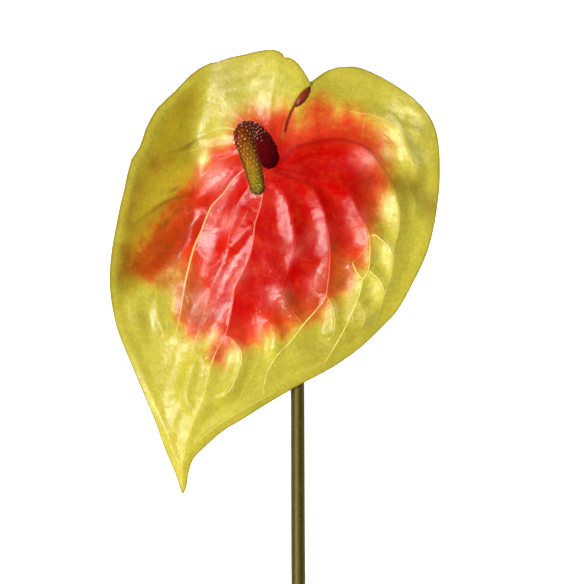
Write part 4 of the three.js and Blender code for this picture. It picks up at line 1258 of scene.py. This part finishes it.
# %% Spadix finish
def make_spadix_finish():
    material, tree = new_material("spadix_flesh")
    mottle = tree.noise(tree.place(), 500, 2)
    share = tree.plus(tree.attribute("along"), tree.spread(mottle, 0.3, 0.7, -0.03, 0.03))
    # the leg that rises from the spathe is nearly black-red: its maroon with painted shade, as the key throws
    # no shadow of the spadix
    between = [(0.14, (76, 0, 5)), (0.4, (86, 2, 7)), (0.52, (86, 22, 9)), (0.64, (104, 46, 8)),
               (0.78, (120, 80, 15)), (0.88, (118, 98, 19)), (0.955, (92, 80, 20))]
    flesh = tree.ramp(share, (52, 0, 1), between, (34, 28, 8))
    # the knobs are paler than the flesh; on the arch their pale pink is partly a painted highlight
    between = [(0.14, (74, 0, 5)), (0.43, (88, 8, 10)), (0.52, (190, 146, 130)), (0.6, (178, 128, 98)),
               (0.75, (172, 132, 66)), (0.92, (164, 136, 58))]
    knobs = tree.ramp(share, (50, 0, 1), between, (124, 104, 34))
    knob = tree.attribute("knob")
    color = tree.blend(tree.spread(knob, 0.2, 0.8), flesh, knobs)
    # the sides darker and browner than the top: painted shade
    spadix_side_shade = tree.times(tree.spread(tree.attribute("upwards"), 0.9, 0.35), tree.spread(share, 0.5, 0.62))
    color = tree.blend(tree.times(spadix_side_shade, 0.85), color, (165, 98, 60), "MULTIPLY")
    # deep between the florets the flesh is darker: painted shade in the gaps
    color = tree.blend(tree.spread(knob, -0.1, -0.7), color, (150, 110, 96), "MULTIPLY")
    tree.shade(color, 0.5, 0.02)
    return material


spadix_finish = make_spadix_finish()
print("spadix finish nodes:", len(spadix_finish.node_tree.nodes))

# %% The spadix itself
core = make_object("spadix_core", core_vertices, core_faces, [spadix_finish])
core_up = (core_vertices[:-2, 2] - np.repeat(spine[:, 2], CORE_SIDES)) / np.repeat(core_girth, CORE_SIDES)
set_attributes(core, along=core_share, knob=np.zeros(len(core_vertices)), upwards=np.append(core_up, [1, 1]))
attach(core, "root")
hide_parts("spadix")

spine_piece = make_object("spadix_spine", spine, edges=chain(len(spine)))
set_attributes(spine_piece, girth=(girth - FLORET_SEAT) * MM)
florets = run_tree("spadix_florets", spine_piece, spiral_florets,
                   {"Floret": floret, "Count": floret_count, "Material": spadix_finish})
bpy.data.objects.remove(floret)
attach(florets, "root")

# a lamp as large and near as the key throws no clear shadow of it, so it is left out of the key's shadows
unshaded = bpy.data.collections.new("no_key_shadow")
for piece in (core, florets):
    unshaded.objects.link(piece)
for entry in unshaded.collection_objects:
    entry.light_linking.link_state = "EXCLUDE"
key.light_linking.blocker_collection = unshaded
print("spadix faces:", len(core.data.polygons), "and", len(florets.data.polygons))

# %% [markdown]
# ## Stem
# The stalk is one long sweep. It comes out from under the spathe, turns down to the table and runs off along
# it. Its skin is faintly fluted, and at the far end it is cut across at a slant.

# %% Stem sweep
STEM_TOP = ATTACHMENT_HEIGHT - PLAIN_THICKNESS - JOIN_GAP
STEM_SIT = math.cos(math.pi / 12)  # the plain stalk lies on one of its twelve sides
STEM_NECK_RADIUS, STEM_CUT_RADIUS, STEM_TOP_RADIUS = 2.95, 3.8, 3.4
STEM_TOP_SHARE = 0.03  # the thick top ends at this share of the way
STEM_CUT_SLANT = 0.5
STEM_SLIMMER = 0.96  # inside the twelve-sided stalk of the plain model
STEM_SIDES = 32
FLUTES, FLUTE_DEPTH = 9, 0.035
STEM_CLEARANCE = 0.01
NECK_STEPS, RUN_STEPS = 88, 234
NECK_SPANS, STEM_SPANS = 22, 48  # the stalk's radius is counted in spans, of which the neck has this many


def stem_route():
    """The middle of the stalk, with the share of the way that its radius depends on."""
    low = STEM_NECK_RADIUS * STEM_SIT
    neck = curve_through([(0.4, -0.4, STEM_TOP), (0.5, -0.6, STEM_TOP - 3), (1.3, -3, 10.5), (3.4, -8.5, 5.6),
                          (6.6, -18, 3.3), (9.4, -32, low), (11, -50, low), (11.8, -75, low)], NECK_STEPS)
    run = curve_through([(11.8, -75), (12, -110), (12.3, -190), (13.8, -350), (14, -500), (12.4, STEM_CUT_Y)],
                        RUN_STEPS)[1:]
    spans = [np.linspace(0, NECK_SPANS, len(neck)), np.linspace(NECK_SPANS, STEM_SPANS, len(run) + 1)[1:]]
    return np.vstack([neck, run]), np.concatenate(spans) / STEM_SPANS, len(neck)


def stem_radius(share):
    top = mix(STEM_TOP_RADIUS, STEM_NECK_RADIUS, smoothstep(0, STEM_TOP_SHARE, share))
    lower = mix(STEM_NECK_RADIUS, STEM_CUT_RADIUS, smoothstep(0.1, 1, share))
    return np.where(share < STEM_TOP_SHARE, top, lower)


route, stem_share, neck_count = stem_route()
radius = stem_radius(stem_share)
route[neck_count:, 2] = STEM_SIT * radius[neck_count:]
turns = 2 * np.pi * np.arange(STEM_SIDES) / STEM_SIDES
fluted = radius[:, None] * STEM_SLIMMER * (1 + FLUTE_DEPTH * (np.cos(FLUTES * turns)[None, :] - 1) / 2)
stem_vertices, stem_faces, stem_around, stem_along = sweep(route, fluted, STEM_SIDES)
stem_vertices[:, 2] = stem_vertices[:, 2].clip(STEM_CLEARANCE)
at_cut = stem_vertices[:, 1] < STEM_CUT_Y + 0.5
stem_vertices[at_cut, 1] = STEM_CUT_Y + STEM_CUT_SLANT * stem_vertices[at_cut, 2]
stem_across = (stem_vertices[:-2, 0] - np.repeat(route[:, 0], STEM_SIDES)) / fluted.ravel()
print("stem vertices:", len(stem_vertices), "lowest", stem_vertices[:, 2].min().round(3))

# %% The cut face
CUT_RINGS = 6  # the cut face gets rings of its own so that its finish can tell rind from pith

cut_centre = len(stem_vertices) - 1
end_ring = np.arange(STEM_SIDES) + (len(route) - 1) * STEM_SIDES
middle, edge = stem_vertices[cut_centre], stem_vertices[end_ring]
inner_rings = [mix(middle, edge, 1 - k / CUT_RINGS) for k in range(1, CUT_RINGS)]
stem_vertices = np.vstack([stem_vertices, *inner_rings])
stem_faces = [face for face in stem_faces if cut_centre not in face]
cut_start = len(stem_faces)
rings = [end_ring] + [cut_centre + 1 + k * STEM_SIDES + np.arange(STEM_SIDES) for k in range(CUT_RINGS - 1)]
stem_faces += ring_faces(rings)
stem_faces += [(int(a), int(b), cut_centre) for a, b in zip(rings[-1], np.roll(rings[-1], -1))]
rind = np.zeros(len(stem_vertices))
for k, ring in enumerate(rings):
    rind[ring] = 1 - k / CUT_RINGS
print("faces of the cut:", len(stem_faces) - cut_start)

# %% Stem finishes
def make_stem_finish():
    material, tree = new_material("stem_skin")
    streaks = tree.streaks((26, 5, 1), 3)
    specks = tree.noise(tree.place(), 700, 2, 0.6)
    # painted light: bands along the stalk, from its left side to its right one, with a painted reflection
    # just left of the middle and painted shade at the left third and on the right
    across = tree.plus(tree.attribute("across"), tree.spread(streaks, 0.2, 0.8, -0.08, 0.08))
    between = [(0.17, (44, 37, 8)), (0.36, (88, 81, 32)), (0.5, (80, 72, 24)), (0.68, (50, 41, 7)),
               (0.85, (66, 56, 20))]
    painted_light_bands = tree.ramp(across, (62, 55, 24), between, (84, 76, 38))
    color = tree.blend(tree.spread(specks, 0.5, 0.75, 0, 0.25), painted_light_bands, (104, 94, 48))
    tree.shade(color, tree.spread(specks, 0.3, 0.7, 0.3, 0.4), 0.04, Normal=tree.bump(streaks, 0.25, 0.0001))
    return material


def make_cut_finish():
    """The cut end: a darker rind, pale pith and the dots of its fibres."""
    material, tree = new_material("stem_cut")
    dots = tree.get("ShaderNodeTexVoronoi", {"Vector": tree.place(), "Scale": 1500})
    color = tree.blend(tree.spread(dots, 0.2, 0.34), (120, 104, 52), (172, 168, 112))
    color = tree.blend(tree.spread(tree.attribute("rind"), 0.7, 0.95), color, (76, 74, 26))
    tree.shade(color, 0.6)
    return material


stem_finishes = [make_stem_finish(), make_cut_finish()]
print("stem finishes:", [finish.name for finish in stem_finishes])

# %% The stem itself
stem = make_object("stem_stalk", stem_vertices, stem_faces, stem_finishes)
added = len(stem_vertices) - len(stem_along)
sideways = np.append(stem_across, np.zeros(added + 2))
set_attributes(stem, rind=rind, across=0.5 + 0.5 * sideways)
lay_flow(stem, np.append(stem_around, np.zeros(added)), np.append(stem_along, np.ones(added)))
for polygon in stem.data.polygons[cut_start:]:
    polygon.material_index = 1
    polygon.use_smooth = False
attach(stem, "root")
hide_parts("stem")
print("stem faces:", len(stem.data.polygons))
